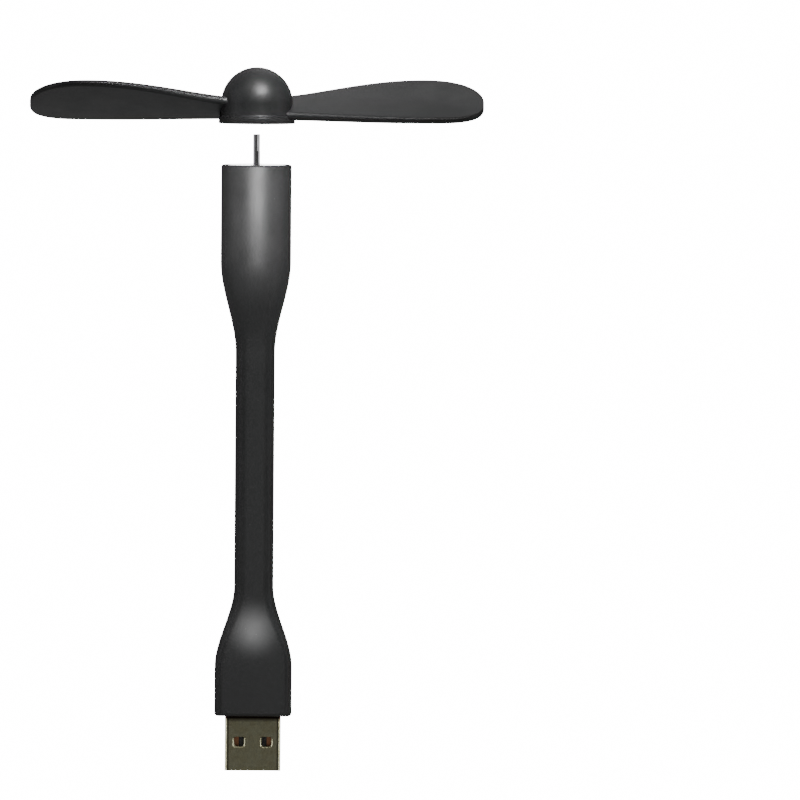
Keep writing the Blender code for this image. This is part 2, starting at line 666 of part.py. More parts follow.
def make_end_plate(pivot):
    """The slotted front plate, with the collar under it that holds the front bushing."""
    radius = MOTOR_DIAMETER / 2
    hole = SHAFT_DIAMETER / 2 + PLATE_HOLE_ROOM
    collar_inner = BUSHING_RADIUS + FIT
    collar_outer = collar_inner + COLLAR_WALL
    slot_start = collar_outer + SLOT_INSET
    plate = turned("motor_end_plate", [
        (collar_inner, PLATE_TOP - PLATE_DISH), (collar_outer, PLATE_TOP),
        (radius, PLATE_TOP), (radius, PLATE_BOTTOM),
        (collar_outer, PLATE_BOTTOM), (collar_outer, COLLAR_BOTTOM),
        (collar_inner, COLLAR_BOTTOM), (collar_inner, PLATE_BOTTOM),
        (hole, PLATE_BOTTOM), (hole, PLATE_TOP - PLATE_DISH)], closed=True)
    for group in (SLOT_GROUP_TURN, SLOT_GROUP_TURN + pi):
        for side in (-1, 1):
            start = group + side * SLOT_BRIDGE / 2
            end = start + side * SLOT_ARC
            for ring in range(SLOT_RINGS):
                middle = slot_start + ring * SLOT_PITCH
                outline = arc(middle + SLOT_WIDTH / 2, start, end, SLOT_STEPS)
                outline += arc(middle - SLOT_WIDTH / 2, end, start, SLOT_STEPS)
                slot = plate_outline(f"slot_{ring}_{side}_{group:.0f}", [outline],
                                     PLATE_BOTTOM - CUT, PLATE_TOP + CUT)
                boolean(plate, slot, "DIFFERENCE")
    shade(plate, material("end_plate_metal", (0.80, 0.80, 0.80), 0.25, 1.0), pivot)
    bronze = material("bushing_bronze", (0.55, 0.36, 0.17), 0.4, 1.0)
    for name, low in (("front_bushing", COLLAR_BOTTOM), ("rear_bushing", CAP_BOTTOM + FIT)):
        high = low + BUSHING_HEIGHT - FIT
        outer, inner = BUSHING_RADIUS, SHAFT_DIAMETER / 2 + BORE_FIT
        bushing = turned(name, [(outer, high), (outer, low), (inner, low), (inner, high)],
                         closed=True, steps=SMALL_STEPS)
        shade(bushing, bronze, pivot)


def make_rear_cap(pivot):
    """The plastic rear cap, with its terminals and the brushes that stand on them."""
    radius = MOTOR_DIAMETER / 2
    lip_outer = CAN_INNER - FIT
    bore = BUSHING_RADIUS + FIT
    boss = bore + COLLAR_WALL
    cap = turned("motor_rear_cap", [
        (lip_outer, CAP_LIP_TOP), (lip_outer, CAP_TOP), (radius, CAP_TOP), (radius, CAP_BOTTOM),
        (bore, CAP_BOTTOM), (bore, CAP_LIP_TOP), (boss, CAP_LIP_TOP), (boss, CAP_TOP),
        (lip_outer - CAP_LIP_WALL, CAP_TOP), (lip_outer - CAP_LIP_WALL, CAP_LIP_TOP)], closed=True)
    tin = material("terminal_tin", (0.68, 0.68, 0.66), 0.35, 1.0)
    copper = material("brush_copper", (0.72, 0.38, 0.22), 0.3, 1.0)
    for sign, side in (("positive", -1), ("negative", 1)):
        x, half = side * TERMINAL_X, TERMINAL_THICKNESS / 2
        terminal = box(f"terminal_{sign}", (x - half, -TERMINAL_WIDTH / 2, TERMINAL_BOTTOM),
                       (x + half, TERMINAL_WIDTH / 2, TERMINAL_TOP))
        way = box(f"terminal_way_{sign}", (x - half - FIT, -TERMINAL_WIDTH / 2 - FIT, CAP_BOTTOM - CUT),
                  (x + half + FIT, TERMINAL_WIDTH / 2 + FIT, CAP_TOP + CUT))
        boolean(cap, way, "DIFFERENCE")
        shade(terminal, tin, pivot)
        make_brush(f"brush_{sign}", side, copper, pivot)
    shade(cap, material("cap_plastic", (0.70, 0.68, 0.62), 0.5), pivot)


def make_brush(name, side, copper, pivot):
    """A bent copper leaf from its terminal to the commutator's side."""
    base = TERMINAL_TOP + FIT
    knee = base + BRUSH_RISE
    touch = COMMUTATOR_RADIUS + FIT
    rise = COMMUTATOR_TOP - COMMUTATOR_HEIGHT / 2 - knee
    leaf = [(TERMINAL_X, base), (TERMINAL_X, knee), (touch + BRUSH_THICKNESS, knee + rise),
            (touch + BRUSH_THICKNESS, knee + rise + BRUSH_THICKNESS),
            (touch, knee + rise + BRUSH_THICKNESS), (touch, knee + rise - BRUSH_THICKNESS / 2),
            (TERMINAL_X - BRUSH_THICKNESS, knee - BRUSH_THICKNESS / 2),
            (TERMINAL_X - BRUSH_THICKNESS, base)]
    outline = [(side * x, z) for x, z in leaf]
    brush = plate_outline(name, [outline], -BRUSH_WIDTH / 2, BRUSH_WIDTH / 2)
    brush.data.transform(Matrix.Rotation(pi / 2, 4, "X"))
    shade(brush, copper, pivot)


def make_rotor(pivot):
    radius = SHAFT_DIAMETER / 2
    shaft = cylinder("motor_shaft", radius, SHAFT_BOTTOM, SHAFT_TOP)
    edge = shaft.modifiers.new("end_edge", "BEVEL")
    edge.width = SHAFT_EDGE
    edge.segments = 1
    edge.angle_limit = BEVEL_ANGLE
    flat = box("shaft_flat_cut", (-radius - CUT, -radius - CUT, SHAFT_TOP - SHAFT_FLAT_LENGTH),
               (radius + CUT, -radius + SHAFT_FLAT_DEPTH, SHAFT_TOP + CUT))
    flat.data.transform(Matrix.Rotation(SHAFT_FLAT_TURN, 4, "Z"))
    boolean(shaft, flat, "DIFFERENCE")
    shade(shaft, material("shaft_steel", (0.16, 0.16, 0.17), 0.3, 1.0), pivot)
    make_core(pivot)
    make_windings(pivot)
    make_commutator(pivot)


def turn_points(points, angle):
    return [(x * cos(angle) - y * sin(angle), x * sin(angle) + y * cos(angle)) for x, y in points]


def make_core(pivot):
    """The laminated core: three teeth with curved pole shoes on a round hub."""
    tooth = TOOTH_WIDTH / 2
    under = CORE_RADIUS - POLE_SHOE_THICKNESS
    lean = asin(tooth / under)
    foot = sqrt(CORE_HUB_RADIUS ** 2 - tooth ** 2)
    pole = [(foot, -tooth)]
    pole += arc(under, -lean, -POLE_HALF_ARC, COIL_STEPS)
    pole += arc(CORE_RADIUS, -POLE_HALF_ARC, POLE_HALF_ARC, SHOE_STEPS)
    pole += arc(under, POLE_HALF_ARC, lean, COIL_STEPS)
    pole.append((foot, tooth))
    outline = []
    for number in range(POLES):
        outline += turn_points(pole, pi / 2 + number * 2 * pi / POLES)
    shaft_hole = circle_outline(SHAFT_DIAMETER / 2 + BORE_FIT)
    core = plate_outline("armature_core", [outline, shaft_hole], CORE_BOTTOM, CORE_TOP)
    shade(core, material("core_iron", (0.30, 0.30, 0.31), 0.45, 1.0), pivot)


def make_windings(pivot):
    """One coil round each tooth, made flat and then stood on its place."""
    enamel = material("winding_copper", (0.62, 0.27, 0.12), 0.35, 1.0)
    hole_width = TOOTH_WIDTH + 2 * BORE_FIT
    hole_height = CORE_TOP - CORE_BOTTOM + 2 * BORE_FIT
    width = hole_width + 2 * WINDING_WALL
    start = CORE_HUB_RADIUS + WINDING_FOOT
    end = sqrt((CORE_RADIUS - POLE_SHOE_THICKNESS - FIT) ** 2 - (width / 2) ** 2)
    outer = rounded_outline(width, hole_height + 2 * WINDING_WALL, WINDING_WALL, COIL_STEPS)
    inner = rounded_outline(hole_width, hole_height, BORE_FIT, 1)
    for number in range(POLES):
        coil = plate_outline(f"armature_winding_{number + 1}", [outer, inner], start, end)
        stand = Matrix.Rotation(pi / 2, 4, "Z") @ Matrix.Rotation(pi / 2, 4, "X")
        turn = Matrix.Rotation(pi / 2 + number * 2 * pi / POLES, 4, "Z")
        lift = Matrix.Translation(on_axis((CORE_BOTTOM + CORE_TOP) / 2))
        coil.data.transform(lift @ turn @ stand)
        shade(coil, enamel, pivot)


def make_commutator(pivot):
    high, low = COMMUTATOR_TOP, COMMUTATOR_BOTTOM
    outer, inner = COMMUTATOR_RADIUS, SHAFT_DIAMETER / 2 + BORE_FIT
    ring = turned("commutator", [(outer, high), (outer, low), (inner, low), (inner, high)],
                  closed=True, steps=SMALL_STEPS)
    for number in range(POLES):
        slit = box(f"commutator_slit_{number}", (outer - COMMUTATOR_SLIT, -COMMUTATOR_SLIT / 2, low - CUT),
                   (outer + CUT, COMMUTATOR_SLIT / 2, high + CUT))
        slit.data.transform(Matrix.Rotation(pi / 6 + number * 2 * pi / POLES, 4, "Z"))
        boolean(ring, slit, "DIFFERENCE")
    shade(ring, material("commutator_copper", (0.75, 0.42, 0.25), 0.25, 1.0), pivot)


def blade_chord(reach):
    """The blade's width at a distance from the axis: it opens to its widest, then rounds off."""
    if reach <= BLADE_WIDEST:
        share = max(0.0, (reach - BLADE_ROOT) / (BLADE_WIDEST - BLADE_ROOT))
        return BLADE_ROOT_CHORD + (BLADE_CHORD - BLADE_ROOT_CHORD) * sin(pi / 2 * share) ** BLADE_OPENING
    share = (reach - BLADE_WIDEST) / (BLADE_TIP - BLADE_WIDEST)
    return BLADE_CHORD * max(0.0, 1 - share ** TIP_FULLNESS) ** TIP_BLUNTNESS


def blade_section(reach):
    """A flat oval section of the blade on +X, near edge low, as a ring of points."""
    share = min(1.0, (reach - BLADE_ROOT) / (BLADE_TIP - BLADE_ROOT))
    thickness = BLADE_ROOT_THICKNESS + (BLADE_TIP_THICKNESS - BLADE_ROOT_THICKNESS) * share
    chord = blade_chord(reach)
    thickness = min(thickness, chord)
    widest = blade_chord(min(reach, BLADE_WIDEST))
    opening = (widest - BLADE_ROOT_CHORD) / (BLADE_CHORD - BLADE_ROOT_CHORD)
    past = max(0.0, reach - BLADE_WIDEST) / (BLADE_TIP - BLADE_WIDEST)
    shift = BLADE_FLARE * opening / 2 - BLADE_TIP_SWEEP * past * past
    outline = rounded_outline(chord, thickness, ROUNDEST * thickness / 2, SECTION_STEPS)
    height = HUB_BASE + BLADE_LIFT + BLADE_RISE * opening
    return [(reach,
             (x + shift) * cos(BLADE_PITCH) - y * sin(BLADE_PITCH),
             height + (x + shift) * sin(BLADE_PITCH) + y * cos(BLADE_PITCH)) for x, y in outline]


def make_blade(turn):
    root_room, tip_room = BLADE_WIDEST - BLADE_ROOT, BLADE_TIP - BLADE_WIDEST
    reaches = [BLADE_ROOT + root_room * i / BLADE_STEPS for i in range(BLADE_STEPS + 1)]
    reaches += [BLADE_WIDEST + tip_room * sin(radians(angle)) for angle in TIP_ANGLES]
    blade = loft(f"blade_{turn}", [blade_section(reach) for reach in reaches])
    blade.data.transform(Matrix.Rotation(radians(turn), 4, "Z"))
    return blade


def make_propeller(pivot):
    """The soft hub, open below, with a boss for the insert and two blades."""
    radius, flange_top = HUB_DIAMETER / 2, HUB_BASE + HUB_FLANGE_HEIGHT
    flange = radius + HUB_FLANGE
    pocket = INSERT_RADIUS + FIT
    boss = pocket + BOSS_WALL
    boss_bottom = INSERT_BOTTOM - BOSS_LIP
    centre = (0.0, HUB_TOP - radius)
    meeting = asin(boss / HUB_INNER)
    dome = arc(radius, pi / 2, 0.0, DOME_STEPS, centre)
    hollow = arc(HUB_INNER, 0.0, pi / 2 - meeting, HOLLOW_STEPS, centre)
    profile = [(0.0, HUB_TOP)] + dome[1:]
    profile += [(radius, flange_top), (flange, flange_top), (flange, HUB_BASE), (HUB_INNER, HUB_BASE)]
    profile += hollow
    profile += [(boss, boss_bottom), (pocket, boss_bottom), (pocket, INSERT_TOP + FIT),
                (0.0, INSERT_TOP + FIT)]
    propeller = turned("propeller", profile, closed=False)
    for turn in BLADE_TURNS:
        boolean(propeller, make_blade(turn), "UNION")
    shade(propeller, material("propeller_rubber", (0.035, 0.035, 0.037), 0.5), pivot)
    make_hub_insert(pivot)


def make_hub_insert(pivot):
    """The hard bush that grips the shaft, with a D-shaped blind hole."""
    insert = cylinder("hub_insert", INSERT_RADIUS, INSERT_BOTTOM, INSERT_TOP)
    radius = SHAFT_DIAMETER / 2 + BORE_FIT
    flat = SHAFT_DIAMETER / 2 - SHAFT_FLAT_DEPTH + BORE_FIT
    lean = asin(flat / radius)
    outline = arc(radius, -lean, pi + lean, D_HOLE_STEPS)
    hole = plate_outline("insert_hole", [turn_points(outline, SHAFT_FLAT_TURN)],
                         INSERT_BOTTOM - CUT, INSERT_HOLE_TOP)
    boolean(insert, hole, "DIFFERENCE")
    shade(insert, material("insert_plastic", (0.80, 0.80, 0.78), 0.4), pivot)


clear_scene()
FAN = collection("desk_fan")
CUTTERS = collection("cutters")
RUBBER = material("body_rubber", (0.035, 0.035, 0.037), 0.5)
HEAD_PIVOT = on_axis(joint_height(NECK_JOINTS - 1))

make_shell()
make_tongue()
make_inner_mould()
make_plug_cover(RUBBER)
for number in range(1, NECK_JOINTS):
    make_neck_sleeve(number, RUBBER)
make_head_cover(RUBBER)
make_wires()
make_stator(HEAD_PIVOT)
make_rotor(on_axis(SHAFT_TOP))
make_propeller(on_axis(HUB_BASE))
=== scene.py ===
"""Desk fan: the visible pieces, their finishes and a plain studio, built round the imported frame.

Metres, +Z up along the fan, X along the plug's width, and -Y is the front.
"""
import json
from math import asin, cos, hypot, pi, radians, sin

import bmesh
import bpy
from bpy.props import FloatProperty, FloatVectorProperty, IntProperty, PointerProperty
from mathutils import Matrix, Vector

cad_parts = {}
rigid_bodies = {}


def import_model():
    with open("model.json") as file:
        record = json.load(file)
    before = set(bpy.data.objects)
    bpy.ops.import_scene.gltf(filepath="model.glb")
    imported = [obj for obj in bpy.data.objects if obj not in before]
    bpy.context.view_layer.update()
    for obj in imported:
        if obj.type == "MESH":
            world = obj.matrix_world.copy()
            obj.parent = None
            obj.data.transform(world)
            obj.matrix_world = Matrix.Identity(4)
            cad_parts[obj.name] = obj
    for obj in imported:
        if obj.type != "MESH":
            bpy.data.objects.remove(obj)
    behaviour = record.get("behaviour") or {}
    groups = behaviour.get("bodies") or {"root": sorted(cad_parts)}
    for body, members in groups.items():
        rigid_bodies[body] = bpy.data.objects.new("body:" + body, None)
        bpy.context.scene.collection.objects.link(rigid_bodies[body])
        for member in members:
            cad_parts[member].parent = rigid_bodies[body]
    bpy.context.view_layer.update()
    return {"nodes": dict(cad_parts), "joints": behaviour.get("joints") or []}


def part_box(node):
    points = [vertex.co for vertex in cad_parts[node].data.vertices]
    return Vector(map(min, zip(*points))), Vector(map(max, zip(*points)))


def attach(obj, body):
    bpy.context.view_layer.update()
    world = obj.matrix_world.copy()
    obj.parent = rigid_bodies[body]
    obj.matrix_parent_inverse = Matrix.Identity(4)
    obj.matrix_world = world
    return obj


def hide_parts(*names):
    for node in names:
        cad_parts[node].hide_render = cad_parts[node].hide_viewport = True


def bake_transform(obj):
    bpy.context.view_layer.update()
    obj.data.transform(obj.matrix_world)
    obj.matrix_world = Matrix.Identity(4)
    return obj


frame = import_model()

bl_info = {
    "name": "Desk Fan",
    "version": (1, 0, 0),
    "blender": (4, 5, 0),
    "location": "View3D > Sidebar > Desk Fan",
    "description": "Builds the visible pieces of a flexible desk fan round its frame",
    "category": "Add Mesh",
}

MM = 0.001
FIT = 0.15 * MM                  # clearance between pieces that fit together
WELD = MM / 2000

# Fineness of the meshes
ROUND_STEPS = 96
CORNER_STEPS = 12
RING_SPACING = 0.5 * MM          # along the housing and the head
BEND_SPACING = 0.6 * MM          # along the pieces that bend
SHARP = radians(32)

# Plug
MOULD_CORNER = 0.95 * MM
LINE_HALF = 0.18 * MM            # half the width of the moulding's parting line
WINDOW_CORNER = 0.45 * MM
WINDOW_LIP = 0.28 * MM           # how far a window's edges slope in through the sheet
WINDOW_START = (-0.2 * MM, -0.19 * MM)               # the cutter's depth and inset outside the sheet
WINDOW_PAST = (0.15 * MM, 0.14 * MM)                 # how far both go past the sheet and the lip
SHELL_EDGE = 0.05 * MM
SEAM_HALF = 0.035 * MM
SEAM_TABS = ((-8.6 * MM, 1), (-1.4 * MM, -1))        # height and side of each dovetail
TAB_WIDTH, TAB_NECK, TAB_REACH = 1.5 * MM, 1.0 * MM, 1.1 * MM

# Head and the motor's end plate
CHAMBER_GAP = 0.55 * MM          # beside the leads, below the motor
RIM_SLOPE = 0.25 * MM
PLATE_DROP = 0.04 * MM           # from the head's rim down to the plate
PLATE_THICKNESS = 0.6 * MM
PLATE_EDGE = 0.12 * MM
PLATE_DISH = 0.06 * MM
PLATE_HOLE_GAP = 0.55 * MM       # round the shaft
COLLAR_WALL = 0.4 * MM
SLOT_START = 0.55 * MM           # from the collar to the middle of the first slot
SLOT_PITCH = 0.85 * MM
SLOT_HALF = 0.18 * MM
SLOT_TURNS = (radians(120), radians(300))
SLOT_BRIDGE = radians(4.5)       # half the bridge between two slots
SLOT_SPAN = radians(44)

# Shaft, and the hole that it turns
SHAFT_EDGE = 0.15 * MM
FLAT_LENGTH = 3.6 * MM
FLAT_DEPTH = 0.25 * MM
FLAT_TURN = radians(58)
GRIP_CLEARANCE = 0.1 * MM
BUSH_EDGE = 0.12 * MM
BUSH_ROOF = 0.8 * MM

# Propeller
FLANGE_REACH = 0.5 * MM
FLANGE_HEIGHT = 1.5 * MM
FLANGE_FILLET = 0.45 * MM
FLANGE_EDGE = 0.2 * MM
BASE_EDGE = 0.15 * MM
BOSS_WALL = 1.2 * MM
BOSS_LIP = 0.4 * MM              # how far the boss reaches below its bush
BLADE_ROOT_SINK = 0.5 * MM       # how far a blade runs on inside the hub's wall
BLADE_ROOT_CHORD = 9.3 * MM
BLADE_ROOT_THICKNESS = 2.0 * MM
BLADE_THINNING = 0.7 * MM        # from root to tip
BLADE_TIP = 12.4 * MM            # length of the round end
BLADE_LIFT = 3.3 * MM            # from the hub's base up to the blade's middle
BLADE_RISE = 0.9 * MM            # how much higher the blade's middle is at its widest
BLADE_FLARE = 3.2 * MM           # how far the raised edge spreads beyond the other
BLADE_TIP_SWEEP = 1.9 * MM
BLADE_OPENING = 1.3              # above 1, the blade stays narrow for longer near its root
TIP_FULLNESS = 2.5               # the higher, the later the tip starts to narrow
TIP_BLUNTNESS = 0.4              # the lower, the blunter the tip's end
TIP_STEPS = 22

# Colours that belong to an effect: dust, and painted shade and shadow on the plug
DUST = (0.16, 0.155, 0.15)
HOUSING_SHADOW = (0.014, 0.008, 0.007)
FOLD_SHADOW = (0.02, 0.018, 0.012)
HOUSING_SHADOW_SPAN = (-1.3 * MM, -0.4 * MM)                # heights between which a shadow under the housing is painted on the plug
FOLD_PLACE = 5.32 * MM                               # from the plug's middle to each fold's line

# Places that the frame gives
NECK = sorted((joint for joint in frame["joints"] if joint["name"].startswith("neck_")),
              key=lambda joint: joint["pos_m"][2])
JOINT_HEIGHTS = [joint["pos_m"][2] for joint in NECK]
PITCH = JOINT_HEIGHTS[1] - JOINT_HEIGHTS[0]
STATIONS = [JOINT_HEIGHTS[0] + (index - 0.5) * PITCH for index in range(len(NECK) + 1)]
COVER_LOW, COVER_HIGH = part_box("plug_cover")
SLEEVE_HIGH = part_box("neck_sleeve_1")[1]
HEAD_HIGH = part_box("head_cover")[1]
SHELL_LOW, SHELL_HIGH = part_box("usb_shell")
MOULD_LOW, MOULD_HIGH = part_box("plug_inner_mould")
WIRE_LOW, WIRE_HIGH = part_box("gooseneck_wire")
LEAD_LOW, LEAD_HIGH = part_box("black_lead")
PLATE_LOW, PLATE_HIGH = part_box("motor_end_plate")
CAP_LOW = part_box("motor_rear_cap")[0]
SHAFT_LOW, SHAFT_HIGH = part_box("motor_shaft")
HUB_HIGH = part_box("propeller")[1]
INSERT_LOW, INSERT_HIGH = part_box("hub_insert")
TERMINAL_LOW, TERMINAL_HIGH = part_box("terminal_negative")


def length(name, description, millimetres):
    return FloatProperty(name=name, description=description, default=millimetres * MM, unit="LENGTH")


class FanSizes(bpy.types.PropertyGroup):
    """Sizes of the visible pieces that the frame leaves open."""
    cover_corner: length("Housing corner", "Corner radius of the plug's housing", 1.9)
    cover_edge: length("Housing edge", "Rounding of the housing's lower edge", 0.7)
    flare_start: length("Flare start", "Height where the housing starts to narrow", 10.5)
    neck_corner: length("Neck corner", "Corner radius of the flat neck", 2.7)
    lead_spacing: length("Lead spacing", "Between the middles of the two leads", 5.2)
    taper_length: length("Taper length", "From the neck's top up to full width", 19.6)
    head_edge: length("Head edge", "Rounding of the head's rim", 0.45)
    chamber: length("Lead chamber", "Room below the motor for the leads' ends", 4.2)
    parting_line: length("Parting line", "How far the moulding's line stands out", 0.02)
    shell_corner: length("Shell corner", "Corner radius of the bare plug", 0.6)
    shell_wall: length("Shell wall", "Sheet thickness of the bare plug", 0.3)
    window_width: length("Window width", "Width of the plug's square windows", 2.6)
    window_height: length("Window height", "Height of the plug's square windows", 2.3)
    window_spacing: length("Window spacing", "Between the windows' middles", 5.9)
    window_drop: length("Window drop", "From the housing to the windows' middle", 5.6)
    slot_rings: IntProperty(name="Slot rings", description="Rows of curved slots in the end plate",
                            default=3, min=1, max=4)
    hub_skirt: length("Hub skirt", "Height of the hub below its dome", 4.4)
    hub_diameter: length("Hub diameter", "Diameter of the hub's dome", 15.4)
    hub_wall: length("Hub wall", "Thickness of the hub", 1.4)
    blade_chord: length("Blade width", "Widest part of a blade", 19.8)
    blade_pitch: FloatProperty(name="Blade pitch", description="Tilt of the blades",
                               default=radians(24), unit="ROTATION")


def colour_property(name, description, default):
    return FloatVectorProperty(name=name, description=description, default=default, size=3, min=0.0,
                               max=1.0, subtype="COLOR")


class FanColours(bpy.types.PropertyGroup):
    """Colours of the finishes that show."""
    body: colour_property("Body rubber", "Rubber of the housing, neck and head", (0.017, 0.017, 0.0175))
    propeller: colour_property("Propeller", "Soft plastic of the propeller", (0.009, 0.009, 0.0095))
    plug: colour_property("Plug", "Sheet steel of the bare plug", (0.30, 0.295, 0.20))
    plate: colour_property("End plate", "Metal of the motor's end plate", (0.86, 0.86, 0.87))
    shaft: colour_property("Shaft", "Steel of the motor's shaft", (0.30, 0.30, 0.31))
    floor: colour_property("Floor", "Studio floor", (0.86, 0.86, 0.86))


# Meshes

def place(name, mesh, finish):
    """Put a finished mesh in the scene as a smooth-shaded piece."""
    mesh.materials.clear()
    mesh.materials.append(finish)
    mesh.shade_smooth()
    mesh.set_sharp_from_angle(angle=SHARP)
    piece = bpy.data.objects.new(name, mesh)
    bpy.context.scene.collection.objects.link(piece)
    return piece


def level_faces(piece):
    """Keep the shading of large flat faces flat beside their rounded edges."""
    change = piece.modifiers.new("level_faces", "WEIGHTED_NORMAL")
    change.keep_sharp = True
    bpy.context.view_layer.update()
    graph = bpy.context.evaluated_depsgraph_get()
    mesh = bpy.data.meshes.new_from_object(piece.evaluated_get(graph))
    piece.modifiers.remove(change)
    piece.data = mesh


def mesh_from(name, bm):
    bmesh.ops.remove_doubles(bm, verts=bm.verts, dist=WELD)
    bmesh.ops.recalc_face_normals(bm, faces=bm.faces)
    mesh = bpy.data.meshes.new(name)
    bm.to_mesh(mesh)
    bm.free()
    return mesh


def arc(radius, start, end, steps, centre=(0.0, 0.0)):
    """Points along an arc, both ends included."""
    angles = [start + (end - start) * step / steps for step in range(steps + 1)]
    return [(centre[0] + radius * cos(a), centre[1] + radius * sin(a)) for a in angles]


def circle(radius, x=0.0, steps=ROUND_STEPS):
    return arc(radius, 0.0, 2 * pi * (1 - 1 / steps), steps - 1, (x, 0.0))


def rounded(width, thickness, corner, line=0.0, steps=CORNER_STEPS):
    """A rectangle with round corners, and a fine raised line along the middle of each side."""
    x, y = width / 2 - corner, thickness / 2 - corner
    points = []
    for quarter, (sx, sy) in enumerate(((1, 1), (-1, 1), (-1, -1), (1, -1))):
        start = quarter * pi / 2
        points += arc(corner, start, start + pi / 2, steps, (sx * x, sy * y))
        if line and quarter in (1, 3):
            side = -1 if quarter == 1 else 1
            half = min(LINE_HALF, 0.8 * y)
            points += [(side * width / 2, -side * half), (side * (width / 2 + line), 0.0),
                       (side * width / 2, side * half)]
    return points


def rows_of_faces(bm, rows, closed=True):
    """Join rows that have the same number of points."""
    count = len(rows[0])
    for low, high in zip(rows, rows[1:]):
        for i in range(count if closed else count - 1):
            j = (i + 1) % count
            bm.faces.new((low[i], low[j], high[j], high[i]))


def loft(name, rings):
    """A closed body through rings of points, with flat ends."""
    bm = bmesh.new()
    rows = [[bm.verts.new(point) for point in ring] for ring in rings]
    rows_of_faces(bm, rows)
    bm.faces.new(reversed(rows[0]))
    bm.faces.new(rows[-1])
    return mesh_from(name, bm)


def bored(name, rings, holes):
    """A closed body through rings of (height, outline), with straight holes along it."""
    bm = bmesh.new()
    rows_of_faces(bm, [[bm.verts.new((x, y, z)) for x, y in outline] for z, outline in rings])
    for hole in holes:
        rows_of_faces(bm, [[bm.verts.new((x, y, z)) for x, y in hole] for z, outline in rings])
    for end in (rings[0][0], rings[-1][0]):
        rim = [edge for edge in bm.edges
               if edge.is_boundary and all(abs(v.co.z - end) < WELD for v in edge.verts)]
        bmesh.ops.triangle_fill(bm, edges=rim, use_beauty=True)
    return mesh_from(name, bm)


def turned(name, profile, steps=ROUND_STEPS):
    """A turned body. The profile is a closed row of (radius, height), or ends on the axis twice."""
    bm = bmesh.new()
    turns = [2 * pi * step / steps for step in range(steps)]
    rows = [[bm.verts.new((r * cos(a), r * sin(a), z)) for a in turns] for r, z in profile]
    rows_of_faces(bm, rows)
    if min(profile[0][0], profile[-1][0]) > 0:
        rows_of_faces(bm, [rows[-1], rows[0]])
    return mesh_from(name, bm)


def prism(name, outline, low, high):
    return loft(name, [[(x, y, z) for x, y in outline] for z in (low, high)])


def shaped(mesh, cutters=(), operation="DIFFERENCE", bevel=0.0, bevel_angle=radians(40)):
    """The mesh after its cutters and a small bevel on its sharp edges."""
    piece = bpy.data.objects.new(mesh.name, mesh)
    bpy.context.scene.collection.objects.link(piece)
    tools = []
    for cutter in cutters:
        tool = bpy.data.objects.new(cutter.name, cutter)
        bpy.context.scene.collection.objects.link(tool)
        tools.append(tool)
        change = piece.modifiers.new(cutter.name, "BOOLEAN")
        change.operation = operation
        change.solver = "EXACT"
        change.object = tool
    if bevel:
        edge = piece.modifiers.new("edge", "BEVEL")
        edge.width = bevel
        edge.segments = 2
        edge.limit_method = "ANGLE"
        edge.angle_limit = bevel_angle
        edge.use_clamp_overlap = True
    bpy.context.view_layer.update()
    graph = bpy.context.evaluated_depsgraph_get()
    done = bpy.data.meshes.new_from_object(piece.evaluated_get(graph))
    done.name = mesh.name
    if not done.polygons:
        raise ValueError(f"{mesh.name} came out empty")
    for thing in [piece] + tools:
        bpy.data.objects.remove(thing, do_unlink=True)
    return done


def strand(name, points, diameter):
    """A round wire with flat ends along a row of points."""
    points = [Vector(point) for point in points]
    section = [Vector((x, y, 0.0)) for x, y in circle(diameter / 2, steps=20)]
    rings = []
    for before, point, after in zip(points[:1] + points, points, points[1:] + points[-1:]):
        turn = Vector((0, 0, 1)).rotation_difference(after - before).to_matrix()
        rings.append([point + turn @ spot for spot in section])
    return loft(name, rings)


def between(low, high, step):
    """Heights from low to high, both included, about one step apart."""
    count = max(1, round((high - low) / step))
    return [low + (high - low) * index / count for index in range(count + 1)]


def smoothstep(value):
    value = min(max(value, 0.0), 1.0)
    return value * value * (3 - 2 * value)


def finished(name, mesh, slot, nodes, body=None):
    """Place a piece, hide the frame nodes that it stands for, and attach it to the body that carries it.
    """
    piece = place(name, mesh, finish(slot))
    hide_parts(*nodes)
    if body:
        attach(piece, body)
    return piece


# Effects that several finishes share

def group(name, inputs, outputs):
    """An empty node group with its sockets, and its input and output nodes."""
    made = bpy.data.node_groups.new(name, "ShaderNodeTree")
    for name, default in inputs:
        socket = made.interface.new_socket(name, in_out="INPUT", socket_type="NodeSocketFloat")
        socket.default_value = default
    for name in outputs:
        made.interface.new_socket(name, in_out="OUTPUT", socket_type="NodeSocketFloat")
    return made, made.nodes.new("NodeGroupInput"), made.nodes.new("NodeGroupOutput")


def fill(tree, socket, value):
    """Link another socket to this one, or set its number or colour."""
    if isinstance(value, bpy.types.NodeSocket):
        tree.links.new(value, socket)
    else:
        socket.default_value = value


def feed(tree, node, **values):
    """Fill a node's inputs by their names."""
    for name, value in values.items():
        fill(tree, node.inputs[name.replace("_", " ")], value)


def math_node(tree, operation, *values):
    """A Math node whose inputs are numbers or sockets."""
    node = tree.nodes.new("ShaderNodeMath")
    node.operation = operation
    for socket, value in zip(node.inputs, values):
        fill(tree, socket, value)
    return node.outputs[0]


def noise(tree, place_socket, scale, detail=3.0, stretch=None):
    """Noise from 0 to 1 at a place, optionally stretched along the axes."""
    if stretch:
        mapping = tree.nodes.new("ShaderNodeMapping")
        feed(tree, mapping, Vector=place_socket, Scale=stretch)
        place_socket = mapping.outputs[0]
    node = tree.nodes.new("ShaderNodeTexNoise")
    feed(tree, node, Vector=place_socket, Scale=scale, Detail=detail)
    return node.outputs["Fac"]


def spread(tree, value, low, high, to_low=0.0, to_high=1.0):
    """Map a value from one span to another, held at its ends."""
    node = tree.nodes.new("ShaderNodeMapRange")
    feed(tree, node, Value=value, From_Min=low, From_Max=high, To_Min=to_low, To_Max=to_high)
    return node.outputs["Result"]


def local_place(tree):
    return tree.nodes.new("ShaderNodeTexCoord").outputs["Object"]


